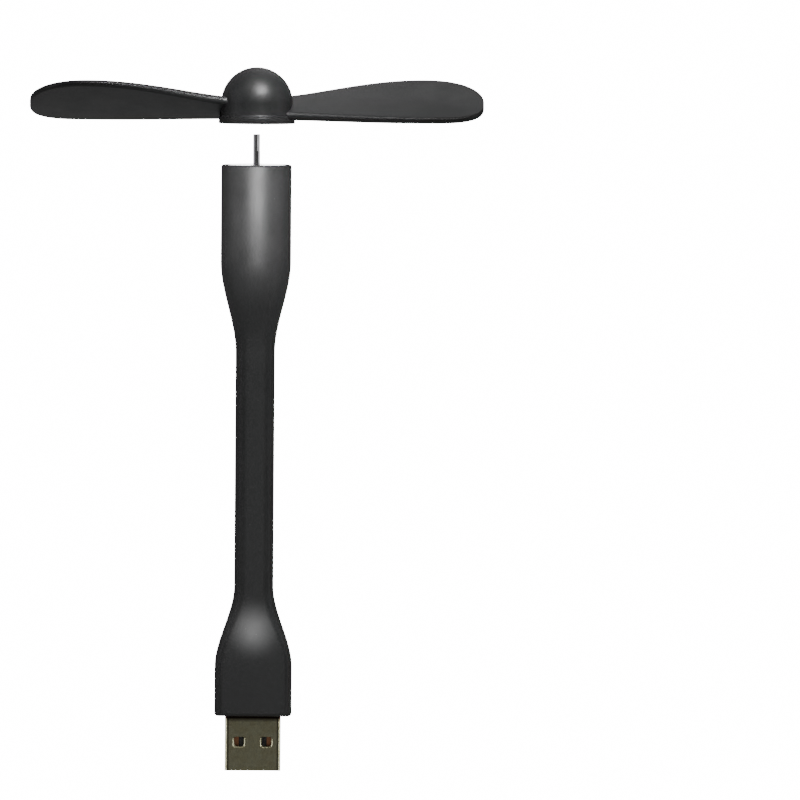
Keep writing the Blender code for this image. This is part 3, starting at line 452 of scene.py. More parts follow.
def grain_group():
    """Fine moulded grain: its height, and soft cloudy patches."""
    tree, source, result = group("moulded_grain", (("Size", 9000.0), ("Patch Size", 120.0)),
                                 ("Height", "Patches"))
    spot = local_place(tree)
    fine = noise(tree, spot, source.outputs["Size"], 2.0)
    coarse = noise(tree, spot, math_node(tree, "MULTIPLY", source.outputs["Size"], 0.31), 1.0)
    height = math_node(tree, "ADD", math_node(tree, "MULTIPLY", fine, 0.7),
                       math_node(tree, "MULTIPLY", coarse, 0.3))
    patches = noise(tree, spot, source.outputs["Patch Size"], 4.0)
    feed(tree, result, Height=height, Patches=spread(tree, patches, 0.35, 0.68))
    return tree


def dust_group():
    """Sparse specks of dust, as a mask."""
    tree, source, result = group("dust_specks", (("Size", 1400.0), ("Amount", 0.1)),
                                 ("Mask",))
    spot = local_place(tree)
    cells = tree.nodes.new("ShaderNodeTexVoronoi")
    feed(tree, cells, Vector=spot, Scale=source.outputs["Size"])
    near = spread(tree, cells.outputs["Distance"], 0.05, 0.16, 1.0, 0.0)
    chance = noise(tree, spot, math_node(tree, "MULTIPLY", source.outputs["Size"], 0.37), 0.0)
    limit = math_node(tree, "SUBTRACT", 0.78, math_node(tree, "MULTIPLY", source.outputs["Amount"], 0.4))
    chosen = math_node(tree, "GREATER_THAN", chance, limit)
    feed(tree, result, Mask=math_node(tree, "MULTIPLY", near, chosen))
    return tree


def metal_group():
    """Worked metal: fine lines one way, and stains, with a height for both."""
    tree, source, result = group("worked_metal", (("Line Size", 5200.0), ("Stain Size", 420.0)),
                                 ("Lines", "Stains", "Height"))
    spot = local_place(tree)
    lines = noise(tree, spot, source.outputs["Line Size"], 3.0, (1.0, 1.0, 0.04))
    stains = noise(tree, spot, source.outputs["Stain Size"], 5.0)
    height = math_node(tree, "ADD", math_node(tree, "MULTIPLY", lines, 0.6),
                       math_node(tree, "MULTIPLY", stains, 0.4))
    feed(tree, result, Lines=lines, Stains=spread(tree, stains, 0.38, 0.66), Height=height)
    return tree


def speckle_group():
    """A fine even speckle, from 0 to 1."""
    tree, source, result = group("fine_speckle", (("Size", 6500.0),), ("Speckle",))
    spot = local_place(tree)
    flecks = noise(tree, spot, source.outputs["Size"], 1.0)
    feed(tree, result, Speckle=spread(tree, flecks, 0.40, 0.62))
    return tree


EFFECTS = {}


def effect(tree, name, **values):
    """Place a shared effect in a material with its own values."""
    node = tree.nodes.new("ShaderNodeGroup")
    node.node_tree = EFFECTS[name]
    feed(tree, node, **values)
    return node.outputs


def new_finish(name):
    made = bpy.data.materials.new(name)
    made.use_nodes = True
    return made, made.node_tree, made.node_tree.nodes["Principled BSDF"]


def mixed(tree, share, first, second):
    """A colour between two, by a share."""
    node = tree.nodes.new("ShaderNodeMix")
    node.data_type = "RGBA"
    feed(tree, node, Factor=share)
    sockets = [socket for socket in node.inputs if socket.type == "RGBA"]
    for socket, colour in zip(sockets, (first, second)):
        fill(tree, socket, (*colour, 1.0) if isinstance(colour, tuple) else colour)
    return [socket for socket in node.outputs if socket.type == "RGBA"][0]


def bump(tree, shader, height, depth):
    """Raise the surface by a height, with the given depth."""
    node = tree.nodes.new("ShaderNodeBump")
    feed(tree, node, Height=height, Distance=depth)
    feed(tree, shader, Normal=node.outputs["Normal"])


def shade_of(colour, share):
    return tuple(min(1.0, part * share) for part in colour)


def rubber_finish(name, colour, roughness, grain=9000.0, depth=0.008 * MM, dust=0.10):
    """Soft-touch moulding: matte, a fine grain, cloudy patches and a little dust."""
    made, tree, shader = new_finish(name)
    grain_out = effect(tree, "moulded_grain", Size=grain, Patch_Size=150.0)
    specks = effect(tree, "dust_specks", Size=1500.0, Amount=dust)
    tone = mixed(tree, grain_out["Patches"], shade_of(colour, 0.88), shade_of(colour, 1.12))
    tone = mixed(tree, math_node(tree, "MULTIPLY", specks["Mask"], 0.35), tone, DUST)
    feed(tree, shader, Base_Color=tone,
         Roughness=spread(tree, grain_out["Patches"], 0.0, 1.0, roughness - 0.03, roughness + 0.04))
    bump(tree, shader, grain_out["Height"], depth)
    feed(tree, shader, Specular_IOR_Level=0.3)
    return made


def plastic_finish(name, colour, roughness, grain=5000.0, depth=0.004 * MM):
    """Hard moulded plastic with a slight grain and uneven gloss."""
    made, tree, shader = new_finish(name)
    grain_out = effect(tree, "moulded_grain", Size=grain, Patch_Size=400.0)
    tone = mixed(tree, grain_out["Patches"], shade_of(colour, 0.9), shade_of(colour, 1.08))
    feed(tree, shader, Base_Color=tone,
         Roughness=spread(tree, grain_out["Patches"], 0.0, 1.0, roughness - 0.06, roughness + 0.05))
    bump(tree, shader, grain_out["Height"], depth)
    return made


def metal_finish(name, colour, roughness, lines=5200.0, stain=(0.5, 0.45, 0.4), depth=0.003 * MM,
                 stained=0.25):
    """Metal with fine working lines and light stains."""
    made, tree, shader = new_finish(name)
    worked = effect(tree, "worked_metal", Line_Size=lines, Stain_Size=500.0)
    stain_colour = tuple(part * tint for part, tint in zip(colour, stain))
    tone = mixed(tree, worked["Lines"], shade_of(colour, 0.92), shade_of(colour, 1.05))
    tone = mixed(tree, math_node(tree, "MULTIPLY", worked["Stains"], stained), tone, stain_colour)
    rough = spread(tree, worked["Lines"], 0.3, 0.7, roughness - 0.05, roughness + 0.05)
    rough = math_node(tree, "ADD", rough, math_node(tree, "MULTIPLY", worked["Stains"], 0.10))
    feed(tree, shader, Base_Color=tone, Roughness=rough)
    bump(tree, shader, worked["Height"], depth)
    feed(tree, shader, Metallic=1.0)
    return made


def plug_finish(colour):
    """Dulled nickel-plated sheet, speckled, with painted shade beside its folds and a painted shadow
    just below the housing.
    """
    made, tree, shader = new_finish("dulled_nickel")
    worked = effect(tree, "worked_metal", Line_Size=3800.0, Stain_Size=700.0)
    speckle = effect(tree, "fine_speckle", Size=7500.0)
    tone = mixed(tree, speckle["Speckle"], shade_of(colour, 0.78), shade_of(colour, 1.15))
    tone = mixed(tree, math_node(tree, "MULTIPLY", worked["Stains"], 0.30), tone,
                 (colour[0] * 0.75, colour[1] * 0.66, colour[2] * 0.45))
    parts = tree.nodes.new("ShaderNodeSeparateXYZ")
    tree.links.new(local_place(tree), parts.inputs[0])
    # painted shadow just below the housing, darkening the top of the plug
    tone = mixed(tree, spread(tree, parts.outputs["Z"], *HOUSING_SHADOW_SPAN), tone, HOUSING_SHADOW)
    reach = math_node(tree, "ABSOLUTE", parts.outputs["X"])
    off_fold = math_node(tree, "ABSOLUTE", math_node(tree, "SUBTRACT", reach, FOLD_PLACE))
    # painted shade: a dark line just inside each folded edge
    tone = mixed(tree, spread(tree, off_fold, 0.06 * MM, 0.18 * MM, 0.8, 0.0), tone, FOLD_SHADOW)
    feed(tree, shader, Base_Color=tone,
         Roughness=spread(tree, speckle["Speckle"], 0.0, 1.0, 0.28, 0.40))
    bump(tree, shader, worked["Height"], 0.002 * MM)
    feed(tree, shader, Metallic=1.0)
    return made


def plate_finish(colour):
    """Turned plate: fine rings round its middle."""
    made, tree, shader = new_finish("turned_plate")
    spot = local_place(tree)
    flat = tree.nodes.new("ShaderNodeVectorMath")
    flat.operation = "MULTIPLY"
    flat.inputs[1].default_value = (1.0, 1.0, 0.0)
    tree.links.new(spot, flat.inputs[0])
    reach = tree.nodes.new("ShaderNodeVectorMath")
    reach.operation = "LENGTH"
    tree.links.new(flat.outputs[0], reach.inputs[0])
    joined = tree.nodes.new("ShaderNodeCombineXYZ")
    tree.links.new(reach.outputs["Value"], joined.inputs["X"])
    rings = noise(tree, joined.outputs[0], 9000.0, 2.0)
    worked = effect(tree, "worked_metal", Line_Size=4000.0, Stain_Size=600.0)
    tone = mixed(tree, rings, shade_of(colour, 0.90), shade_of(colour, 1.06))
    tone = mixed(tree, math_node(tree, "MULTIPLY", worked["Stains"], 0.12), tone, shade_of(colour, 0.6))
    feed(tree, shader, Base_Color=tone,
         Roughness=spread(tree, rings, 0.3, 0.7, 0.22, 0.34))
    bump(tree, shader, rings, 0.004 * MM)
    feed(tree, shader, Metallic=1.0)
    return made


def banded_finish(name, colour, gap_colour, bands, roughness):
    """Stacked sheets or wound wire: even bands with dark gaps."""
    made, tree, shader = new_finish(name)
    wave = tree.nodes.new("ShaderNodeTexWave")
    wave.bands_direction = "Z"
    feed(tree, wave, Vector=local_place(tree), Scale=bands)
    worked = effect(tree, "worked_metal", Line_Size=5000.0, Stain_Size=700.0)
    tone = mixed(tree, wave.outputs["Fac"], gap_colour, colour)
    tone = mixed(tree, math_node(tree, "MULTIPLY", worked["Stains"], 0.2), tone, shade_of(colour, 0.6))
    feed(tree, shader, Base_Color=tone,
         Roughness=spread(tree, worked["Stains"], 0.0, 1.0, roughness - 0.05, roughness + 0.08))
    bump(tree, shader, wave.outputs["Fac"], 0.05 * MM)
    feed(tree, shader, Metallic=1.0)
    return made


# Colour and roughness of the finishes that aren't among the properties
METALS = {
    "contact_gold": ((0.50, 0.24, 0.13), 0.30),
    "gooseneck_steel": ((0.45, 0.45, 0.46), 0.38),
    "can_steel": ((0.60, 0.60, 0.60), 0.3),
    "brush_copper": ((0.72, 0.38, 0.22), 0.3),
    "terminal_tin": ((0.68, 0.68, 0.66), 0.34),
    "bushing_bronze": ((0.55, 0.36, 0.17), 0.42),
    "commutator_copper": ((0.75, 0.42, 0.25), 0.28),
}
PLASTICS = {
    "plug_plastic": ((0.16, 0.165, 0.155), 0.42),
    "inner_plastic": ((0.75, 0.73, 0.68), 0.5),
    "red_insulation": ((0.60, 0.03, 0.02), 0.45),
    "black_insulation": ((0.015, 0.015, 0.015), 0.45),
    "cap_plastic": ((0.70, 0.68, 0.62), 0.5),
    "insert_plastic": ((0.80, 0.80, 0.78), 0.4),
}
FINISHES = {}


def made_finish(name):
    """A new finish by its slot's name."""
    if name in METALS:
        return metal_finish(name, *METALS[name])
    if name in PLASTICS:
        return plastic_finish(name, *PLASTICS[name])
    colours = bpy.context.scene.fan_colours
    special = {
        "body_rubber": lambda: rubber_finish(name, tuple(colours.body), 0.48),
        "propeller_rubber": lambda: rubber_finish(name, tuple(colours.propeller), 0.43, grain=11000.0,
                                                  depth=0.006 * MM, dust=0.12),
        "plug_steel": lambda: plug_finish(tuple(colours.plug)),
        "end_plate_metal": lambda: plate_finish(tuple(colours.plate)),
        "shaft_steel": lambda: metal_finish(name, tuple(colours.shaft), 0.16, stained=0.1),
        "magnet_ferrite": lambda: plastic_finish(name, (0.06, 0.06, 0.065), 0.62, grain=9000.0,
                                                 depth=0.02 * MM),
        "core_iron": lambda: banded_finish(name, (0.30, 0.30, 0.31), (0.05, 0.05, 0.05), 620.0, 0.42),
        "winding_copper": lambda: banded_finish(name, (0.62, 0.27, 0.12), (0.16, 0.06, 0.03), 900.0,
                                                0.32),
    }
    return special[name]()


def finish(name):
    """A finish by its slot's name, made when it is first asked for."""
    if not EFFECTS:
        EFFECTS.update(moulded_grain=grain_group(), dust_specks=dust_group(), worked_metal=metal_group(),
                       fine_speckle=speckle_group())
    if name not in FINISHES:
        FINISHES[name] = made_finish(name)
    return FINISHES[name]


def repaint(slot, *nodes):
    """Give frame nodes whose shape is kept their finish."""
    for node in nodes:
        for place_slot in frame["nodes"][node].material_slots:
            place_slot.material = finish(slot)


# Shapes that several pieces share

def wire_ways():
    """The holes along the neck for the gooseneck wire and the two leads."""
    sizes = bpy.context.scene.fan_sizes
    wire = (WIRE_HIGH.x - WIRE_LOW.x) / 2 + FIT
    lead = (LEAD_HIGH.y - LEAD_LOW.y) / 2 + FIT
    offset = sizes.lead_spacing / 2
    return [circle(wire, 0.0, 24), circle(lead, -offset, 16), circle(lead, offset, 16)]


def neck_outline():
    sizes = bpy.context.scene.fan_sizes
    return rounded(2 * SLEEVE_HIGH.x, 2 * SLEEVE_HIGH.y, sizes.neck_corner, sizes.parting_line)


class FanPiece:
    """What the operators share."""
    bl_options = {"REGISTER", "UNDO"}


class FAN_OT_bare_plug(FanPiece, bpy.types.Operator):
    """Folded steel shell of the plug, with its windows and seam, and what shows inside it"""
    bl_idname = "fan.bare_plug"
    bl_label = "Bare Plug"

    def window(self, sizes, side, face):
        """A cutter that slopes in at the window's sides and foot."""
        front = SHELL_HIGH.y
        through = (sizes.shell_wall + WINDOW_PAST[0], WINDOW_LIP + WINDOW_PAST[1])
        rings = []
        for depth, inset in (WINDOW_START, through):
            width = sizes.window_width - 2 * inset
            height = sizes.window_height - inset
            outline = rounded(width, height, WINDOW_CORNER, steps=5)
            centre = -sizes.window_drop + inset / 2
            x0 = side * sizes.window_spacing / 2
            rings.append([(x0 + x, face * (front - depth), centre + z) for x, z in outline])
        return loft(f"window_{side}_{face}", rings)

    def seam(self, sizes):
        """Thin cuts down the back, where the folded sheet meets in two dovetails."""
        line = [(0.0, SHELL_LOW.z - MM)]
        for middle, side in SEAM_TABS:
            line += [(0.0, middle - TAB_NECK / 2), (side * TAB_REACH, middle - TAB_WIDTH / 2),
                     (side * TAB_REACH, middle + TAB_WIDTH / 2), (0.0, middle + TAB_NECK / 2)]
        line.append((0.0, SHELL_HIGH.z + MM))
        deep = SHELL_HIGH.y - sizes.shell_wall / 2
        cuts = []
        for (x0, z0), (x1, z1) in zip(line, line[1:]):
            share = SEAM_HALF / hypot(x1 - x0, z1 - z0)
            ux, uz = share * (x1 - x0), share * (z1 - z0)
            corners = [(x0 - ux - uz, z0 - uz + ux), (x0 - ux + uz, z0 - uz - ux),
                       (x1 + ux + uz, z1 + uz - ux), (x1 + ux - uz, z1 + uz + ux)]
            cuts.append(loft(f"seam_{len(cuts)}", [[(x, y, z) for x, z in corners]
                                                   for y in (deep, SHELL_HIGH.y + MM)]))
        return cuts

    def execute(self, context):
        sizes = context.scene.fan_sizes
        wall, corner = sizes.shell_wall, sizes.shell_corner
        width, thickness = SHELL_HIGH.x - SHELL_LOW.x, SHELL_HIGH.y - SHELL_LOW.y
        outer = rounded(width, thickness, corner)
        inner = rounded(width - 2 * wall, thickness - 2 * wall, corner - wall)
        rings = [(z, outer) for z in (SHELL_LOW.z, SHELL_HIGH.z)]
        cutters = [self.window(sizes, side, face) for side in (-1, 1) for face in (-1, 1)]
        shell = shaped(bored("usb_shell_folded", rings, [inner]), cutters + self.seam(sizes),
                       bevel=SHELL_EDGE)
        level_faces(finished("usb_shell_folded", shell, "plug_steel", ["usb_shell"], "plug"))
        repaint("plug_plastic", "usb_tongue")
        repaint("contact_gold", "usb_contact_vbus", "usb_contact_data_minus", "usb_contact_data_plus",
                "usb_contact_ground")
        repaint("inner_plastic", "plug_inner_mould")
        return {"FINISHED"}


class FAN_OT_housing(FanPiece, bpy.types.Operator):
    """Rubber housing of the plug, flaring up to the neck"""
    bl_idname = "fan.housing"
    bl_label = "Plug Housing"

    def execute(self, context):
        sizes = context.scene.fan_sizes
        wide, thick = COVER_HIGH.x, COVER_HIGH.y
        neck_wide, neck_thick = SLEEVE_HIGH.x, SLEEVE_HIGH.y

        def outline(share, inset=0.0):
            return rounded(2 * (wide + (neck_wide - wide) * share - inset),
                           2 * (thick + (neck_thick - thick) * share - inset),
                           sizes.cover_corner + (sizes.neck_corner - sizes.cover_corner) * share - inset,
                           sizes.parting_line)

        rings = []
        for step in range(9):
            angle = pi / 2 * step / 8
            inset = sizes.cover_edge * (1 - sin(angle))
            rings.append((COVER_LOW.z + sizes.cover_edge * (1 - cos(angle)), outline(0.0, inset)))
        for height in between(sizes.flare_start, STATIONS[0], RING_SPACING):
            rings.append((height, outline(smoothstep((height - sizes.flare_start)
                                                     / (STATIONS[0] - sizes.flare_start)))))
        body = loft("plug_housing", [[(x, y, z) for x, y in points] for z, points in rings])
        room = rounded(2 * (MOULD_HIGH.x + FIT), 2 * (MOULD_HIGH.y + FIT), MOULD_CORNER)
        mouth = rounded(2 * (SHELL_HIGH.x + FIT), 2 * (SHELL_HIGH.y + FIT), sizes.shell_corner + FIT)
        cutters = [prism("mould_room", room, MOULD_LOW.z - FIT, MOULD_HIGH.z + FIT),
                   prism("mouth", mouth, -MM, MOULD_LOW.z + MM)]
        cutters += [prism(f"way_{index}", way, MOULD_HIGH.z - MM, STATIONS[0] + MM)
                    for index, way in enumerate(wire_ways())]
        finished("plug_housing", shaped(body, cutters), "body_rubber", ["plug_cover"], "plug")
        return {"FINISHED"}


class FAN_OT_neck(FanPiece, bpy.types.Operator):
    """Flat rubber neck, in pieces that each span one of its joints"""
    bl_idname = "fan.neck"
    bl_label = "Neck"

    def execute(self, context):
        outline, ways = neck_outline(), wire_ways()
        for index, (low, high) in enumerate(zip(STATIONS, STATIONS[1:])):
            name = f"neck_rubber_{index + 1}"
            rings = [(height, outline) for height in between(low, high, BEND_SPACING)]
            stands_for = [sleeve for sleeve in (f"neck_sleeve_{index}", f"neck_sleeve_{index + 1}")
                          if sleeve in frame["nodes"]]
            piece = finished(name, bored(name, rings, ways), "body_rubber", stands_for)
            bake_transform(piece)
        return {"FINISHED"}


class FAN_OT_head(FanPiece, bpy.types.Operator):
    """Rubber head: the taper up from the neck and the sleeve round the motor"""
    bl_idname = "fan.head"
    bl_label = "Motor Head"

    def execute(self, context):
        sizes = context.scene.fan_sizes
        wide, top, base = HEAD_HIGH.x, HEAD_HIGH.z, STATIONS[-1]
        neck_wide, neck_thick = SLEEVE_HIGH.x, SLEEVE_HIGH.y

        def outline(share, inset=0.0):
            half_wide = neck_wide + (wide - neck_wide) * share - inset
            half_thick = neck_thick + (wide - neck_thick) * share - inset
            corner = sizes.neck_corner + (wide - sizes.neck_corner) * share - inset
            return rounded(2 * half_wide, 2 * half_thick, min(corner, 0.985 * half_thick),
                           sizes.parting_line)

        rings = [(z, outline(smoothstep((z - base) / sizes.taper_length)))
                 for z in between(base, base + sizes.taper_length, RING_SPACING)]
        for step in range(7):
            angle = pi / 2 * step / 6
            rings.append((top - sizes.head_edge * (1 - sin(angle)),
                          outline(1.0, sizes.head_edge * (1 - cos(angle)))))
        body = loft("head_rubber", [[(x, y, z) for x, y in points] for z, points in rings])
        bore = PLATE_HIGH.x + FIT
        seat = CAP_LOW.z - FIT
        floor = seat - sizes.chamber
        chamber = LEAD_HIGH.x + CHAMBER_GAP
        room = turned("motor_room", [(0.0, top + MM), (bore + RIM_SLOPE, top + 0.1 * MM),
                                     (bore, top - 0.15 * MM), (bore, seat), (chamber, seat),
                                     (chamber, floor), (0.0, floor)])
        cutters = [room] + [prism(f"way_{index}", way, base - MM, floor + MM)
                            for index, way in enumerate(wire_ways())]
        finished("head_rubber", shaped(body, cutters), "body_rubber", ["head_cover"], "head")
        return {"FINISHED"}


class FAN_OT_wiring(FanPiece, bpy.types.Operator):
    """Gooseneck wire and the two leads, in pieces along the neck"""
    bl_idname = "fan.wiring"
    bl_label = "Wiring"

    def execute(self, context):
        sizes = context.scene.fan_sizes
        inner, outer = sizes.lead_spacing / 2, TERMINAL_HIGH.x / 2 + TERMINAL_LOW.x / 2
        floor = CAP_LOW.z - FIT - sizes.chamber
        for name, node, slot, x in (("gooseneck", "gooseneck_wire", "gooseneck_steel", 0.0),
                                    ("red_wire", "red_lead", "red_insulation", -inner),
                                    ("black_wire", "black_lead", "black_insulation", inner)):
            low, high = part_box(node)
            diameter = high.y - low.y
            spans = [(low.z, STATIONS[0])] + list(zip(STATIONS, STATIONS[1:]))
            for index, (start, end) in enumerate(spans):
                points = [(x, 0.0, z) for z in between(start, end, BEND_SPACING)]
                piece = finished(f"{name}_{index}", strand(f"{name}_{index}", points, diameter), slot,
                                 [node], None if index else "plug")
                if index:
                    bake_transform(piece)
            points = [(x, 0.0, STATIONS[-1]), (x, 0.0, high.z)]
            if x:
                terminal, foot = (outer if x > 0 else -outer), floor + FIT
                shares = [step / 8 for step in range(9)]
                points = points[:1] + [(x + (terminal - x) * smoothstep(share), 0.0,
                                        foot + (high.z - foot) * share) for share in shares]
            finished(f"{name}_top", strand(f"{name}_top", points, diameter), slot, [node], "head")
        return {"FINISHED"}


class FAN_OT_motor(FanPiece, bpy.types.Operator):
    """Slotted end plate of the motor, and the finishes of what is inside it"""
    bl_idname = "fan.motor"
    bl_label = "Motor"

    def slot(self, middle, low, high):
        """Outline of a curved slot with round ends, between two angles."""
        first, last = [(middle * cos(angle), middle * sin(angle)) for angle in (low, high)]
        outline = arc(middle + SLOT_HALF, low, high, 14)
        outline += arc(SLOT_HALF, high, high + pi, 6, last)[1:-1]
        outline += arc(middle - SLOT_HALF, high, low, 14)
        return outline + arc(SLOT_HALF, low + pi, low + 2 * pi, 6, first)[1:-1]

    def execute(self, context):
        top, radius = HEAD_HIGH.z - PLATE_DROP, PLATE_HIGH.x
        under = top - PLATE_THICKNESS
        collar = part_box("front_bushing")[1].x + FIT
        outside = collar + COLLAR_WALL
        hole = SHAFT_HIGH.x + PLATE_HOLE_GAP
        profile = [(hole, top - PLATE_DISH), (collar, top - PLATE_DISH),
                   (outside, top - PLATE_DISH * 0.25), (outside + 0.5 * MM, top)]
        profile += arc(PLATE_EDGE, pi / 2, 0.0, 4, (radius - PLATE_EDGE, top - PLATE_EDGE))
        profile += [(radius, under), (outside, under), (outside, PLATE_LOW.z), (collar, PLATE_LOW.z),
                    (collar, under), (hole, under)]
        cutters = []
        for turn in SLOT_TURNS:
            for side in (-1, 1):
                near = turn + side * SLOT_BRIDGE
                low, high = sorted((near, near + side * SLOT_SPAN))
                for ring in range(context.scene.fan_sizes.slot_rings):
                    outline = self.slot(outside + SLOT_START + SLOT_PITCH * ring, low, high)
                    cutters.append(prism(f"slot_{len(cutters)}", outline, under - MM, top + MM))
        plate = shaped(turned("end_plate_slotted", profile), cutters)
        finished("end_plate_slotted", plate, "end_plate_metal", ["motor_end_plate"], "head")
        for slot, *nodes in (
                ("can_steel", "motor_can"),
                ("cap_plastic", "motor_rear_cap"),
                ("magnet_ferrite", "magnet_left", "magnet_right"),
                ("brush_copper", "brush_positive", "brush_negative"),
                ("terminal_tin", "terminal_positive", "terminal_negative"),
                ("bushing_bronze", "front_bushing", "rear_bushing"),
                ("core_iron", "armature_core"),
                ("winding_copper", "armature_winding_1", "armature_winding_2", "armature_winding_3"),
                ("commutator_copper", "commutator")):
            repaint(slot, *nodes)
        return {"FINISHED"}


def bar(radius, low, high, edge):
    """Profile of a round bar with bevelled ends."""
    return [(0.0, high), (radius - edge, high), (radius, high - edge), (radius, low + edge),
            (radius - edge, low), (0.0, low)]


def facing_flat(outline):
    """An outline turned so that its lower side lies along the shaft's flat."""
    c, s = cos(FLAT_TURN), sin(FLAT_TURN)
    return [(x * c - y * s, x * s + y * c) for x, y in outline]


class FAN_OT_shaft(FanPiece, bpy.types.Operator):
    """Motor shaft with the flat that turns the propeller"""
    bl_idname = "fan.shaft"
    bl_label = "Shaft"

    def execute(self, context):
        radius, low, high = SHAFT_HIGH.x, SHAFT_LOW.z, SHAFT_HIGH.z
        reach, flat = 4 * radius, radius - FLAT_DEPTH
        outline = facing_flat([(-reach, -reach), (reach, -reach), (reach, -flat), (-reach, -flat)])
        cutter = prism("flat", outline, high - FLAT_LENGTH, high + MM)
        shaft = shaped(turned("ground_shaft", bar(radius, low, high, SHAFT_EDGE), 48), [cutter])
        finished("ground_shaft", shaft, "shaft_steel", ["motor_shaft"], "rotor")
        return {"FINISHED"}


class FAN_OT_propeller(FanPiece, bpy.types.Operator):
    """Soft propeller: open dome hub, two blades with rounded roots, and the bush in its boss"""
    bl_idname = "fan.propeller"
    bl_label = "Propeller"

    def chord(self, sizes, reach, root, widest, tip):
        """A blade's width at a distance from the hub's axis."""
        if reach <= widest:
            share = max(0.0, (reach - root) / (widest - root))
            growth = sin(pi / 2 * share) ** BLADE_OPENING
            return BLADE_ROOT_CHORD + (sizes.blade_chord - BLADE_ROOT_CHORD) * growth
        share = (reach - widest) / (tip - widest)
        return sizes.blade_chord * max(0.0, 1 - share ** TIP_FULLNESS) ** TIP_BLUNTNESS

    def blade(self, sizes, turn, base):
        """One blade, from inside the hub's wall out to its tip."""
        root, tip = sizes.hub_diameter / 2 - sizes.hub_wall - BLADE_ROOT_SINK, HUB_HIGH.x
        widest = tip - BLADE_TIP
        reaches = between(root, widest, 1.2 * MM)
        shares = [sin(pi / 2 * step / TIP_STEPS) for step in range(1, TIP_STEPS)] + [0.9995]
        reaches += [widest + (tip - widest) * share for share in shares]
        c, s = cos(sizes.blade_pitch), sin(sizes.blade_pitch)
        rings = []
        for reach in reaches:
            chord = self.chord(sizes, reach, root, widest, tip)
            share = min(1.0, (reach - root) / (tip - root))
            thickness = min(BLADE_ROOT_THICKNESS - BLADE_THINNING * share, chord)
            opening = (self.chord(sizes, min(reach, widest), root, widest, tip) - BLADE_ROOT_CHORD) \
                / (sizes.blade_chord - BLADE_ROOT_CHORD)
            past = max(0.0, reach - widest) / (tip - widest)
            shift = BLADE_FLARE * opening / 2 - BLADE_TIP_SWEEP * past * past
            height = base + BLADE_LIFT + BLADE_RISE * opening
            rings.append([(reach, (x + shift) * c - y * s, height + (x + shift) * s + y * c)
                          for x, y in rounded(chord, thickness, 0.98 * thickness / 2, steps=7)])
        blade = loft(f"blade_{turn}", rings)
        blade.transform(Matrix.Rotation(radians(turn), 4, "Z"))
        return blade

    def execute(self, context):
        sizes = context.scene.fan_sizes
        radius = sizes.hub_diameter / 2
        base = HUB_HIGH.z - radius - sizes.hub_skirt
        inner = radius - sizes.hub_wall
        crown = base + sizes.hub_skirt
        pocket = INSERT_HIGH.x + FIT
        boss, mouth = pocket + BOSS_WALL, INSERT_LOW.z - BOSS_LIP
        flange, flange_top, fillet = radius + FLANGE_REACH, base + FLANGE_HEIGHT, FLANGE_FILLET
        profile = arc(radius, pi / 2, 0.0, 36, (0.0, crown))
        profile[0] = (0.0, crown + radius)
        profile += [(radius, flange_top + fillet)]
        profile += arc(fillet, pi, 1.5 * pi, 4, (radius + fillet, flange_top + fillet))[1:]
        profile += arc(FLANGE_EDGE, pi / 2, 0.0, 3, (flange - FLANGE_EDGE, flange_top - FLANGE_EDGE))
        profile += arc(BASE_EDGE, 0.0, -pi / 2, 3, (flange - BASE_EDGE, base + BASE_EDGE))
        profile += [(inner + BASE_EDGE, base), (inner, base + BASE_EDGE)]
        profile += arc(inner, 0.0, pi / 2 - asin(boss / inner), 16, (0.0, crown))
        profile += [(boss, mouth), (pocket + BASE_EDGE, mouth), (pocket, mouth + BASE_EDGE),
                    (pocket, INSERT_HIGH.z + FIT), (0.0, INSERT_HIGH.z + FIT)]
        blades = [self.blade(sizes, turn, base) for turn in (0, 180)]
        mesh = shaped(turned("soft_propeller", profile), blades, "UNION")
        finished("soft_propeller", mesh, "propeller_rubber", ["propeller"], "blades")
        self.bush()
        return {"FINISHED"}

    def bush(self):
        """The hard bush that grips the shaft, with a D-shaped blind hole."""
        low, high = INSERT_LOW.z, INSERT_HIGH.z
        hole = SHAFT_HIGH.x + GRIP_CLEARANCE
        lean = asin((hole - FLAT_DEPTH) / hole)
        outline = facing_flat(arc(hole, -lean, pi + lean, 24))
        cutter = prism("shaft_hole", outline, low - MM, high - BUSH_ROOF)
        bush = shaped(turned("hub_bush", bar(INSERT_HIGH.x, low, high, BUSH_EDGE), 48), [cutter])
        finished("hub_bush", bush, "insert_plastic", ["hub_insert"], "blades")


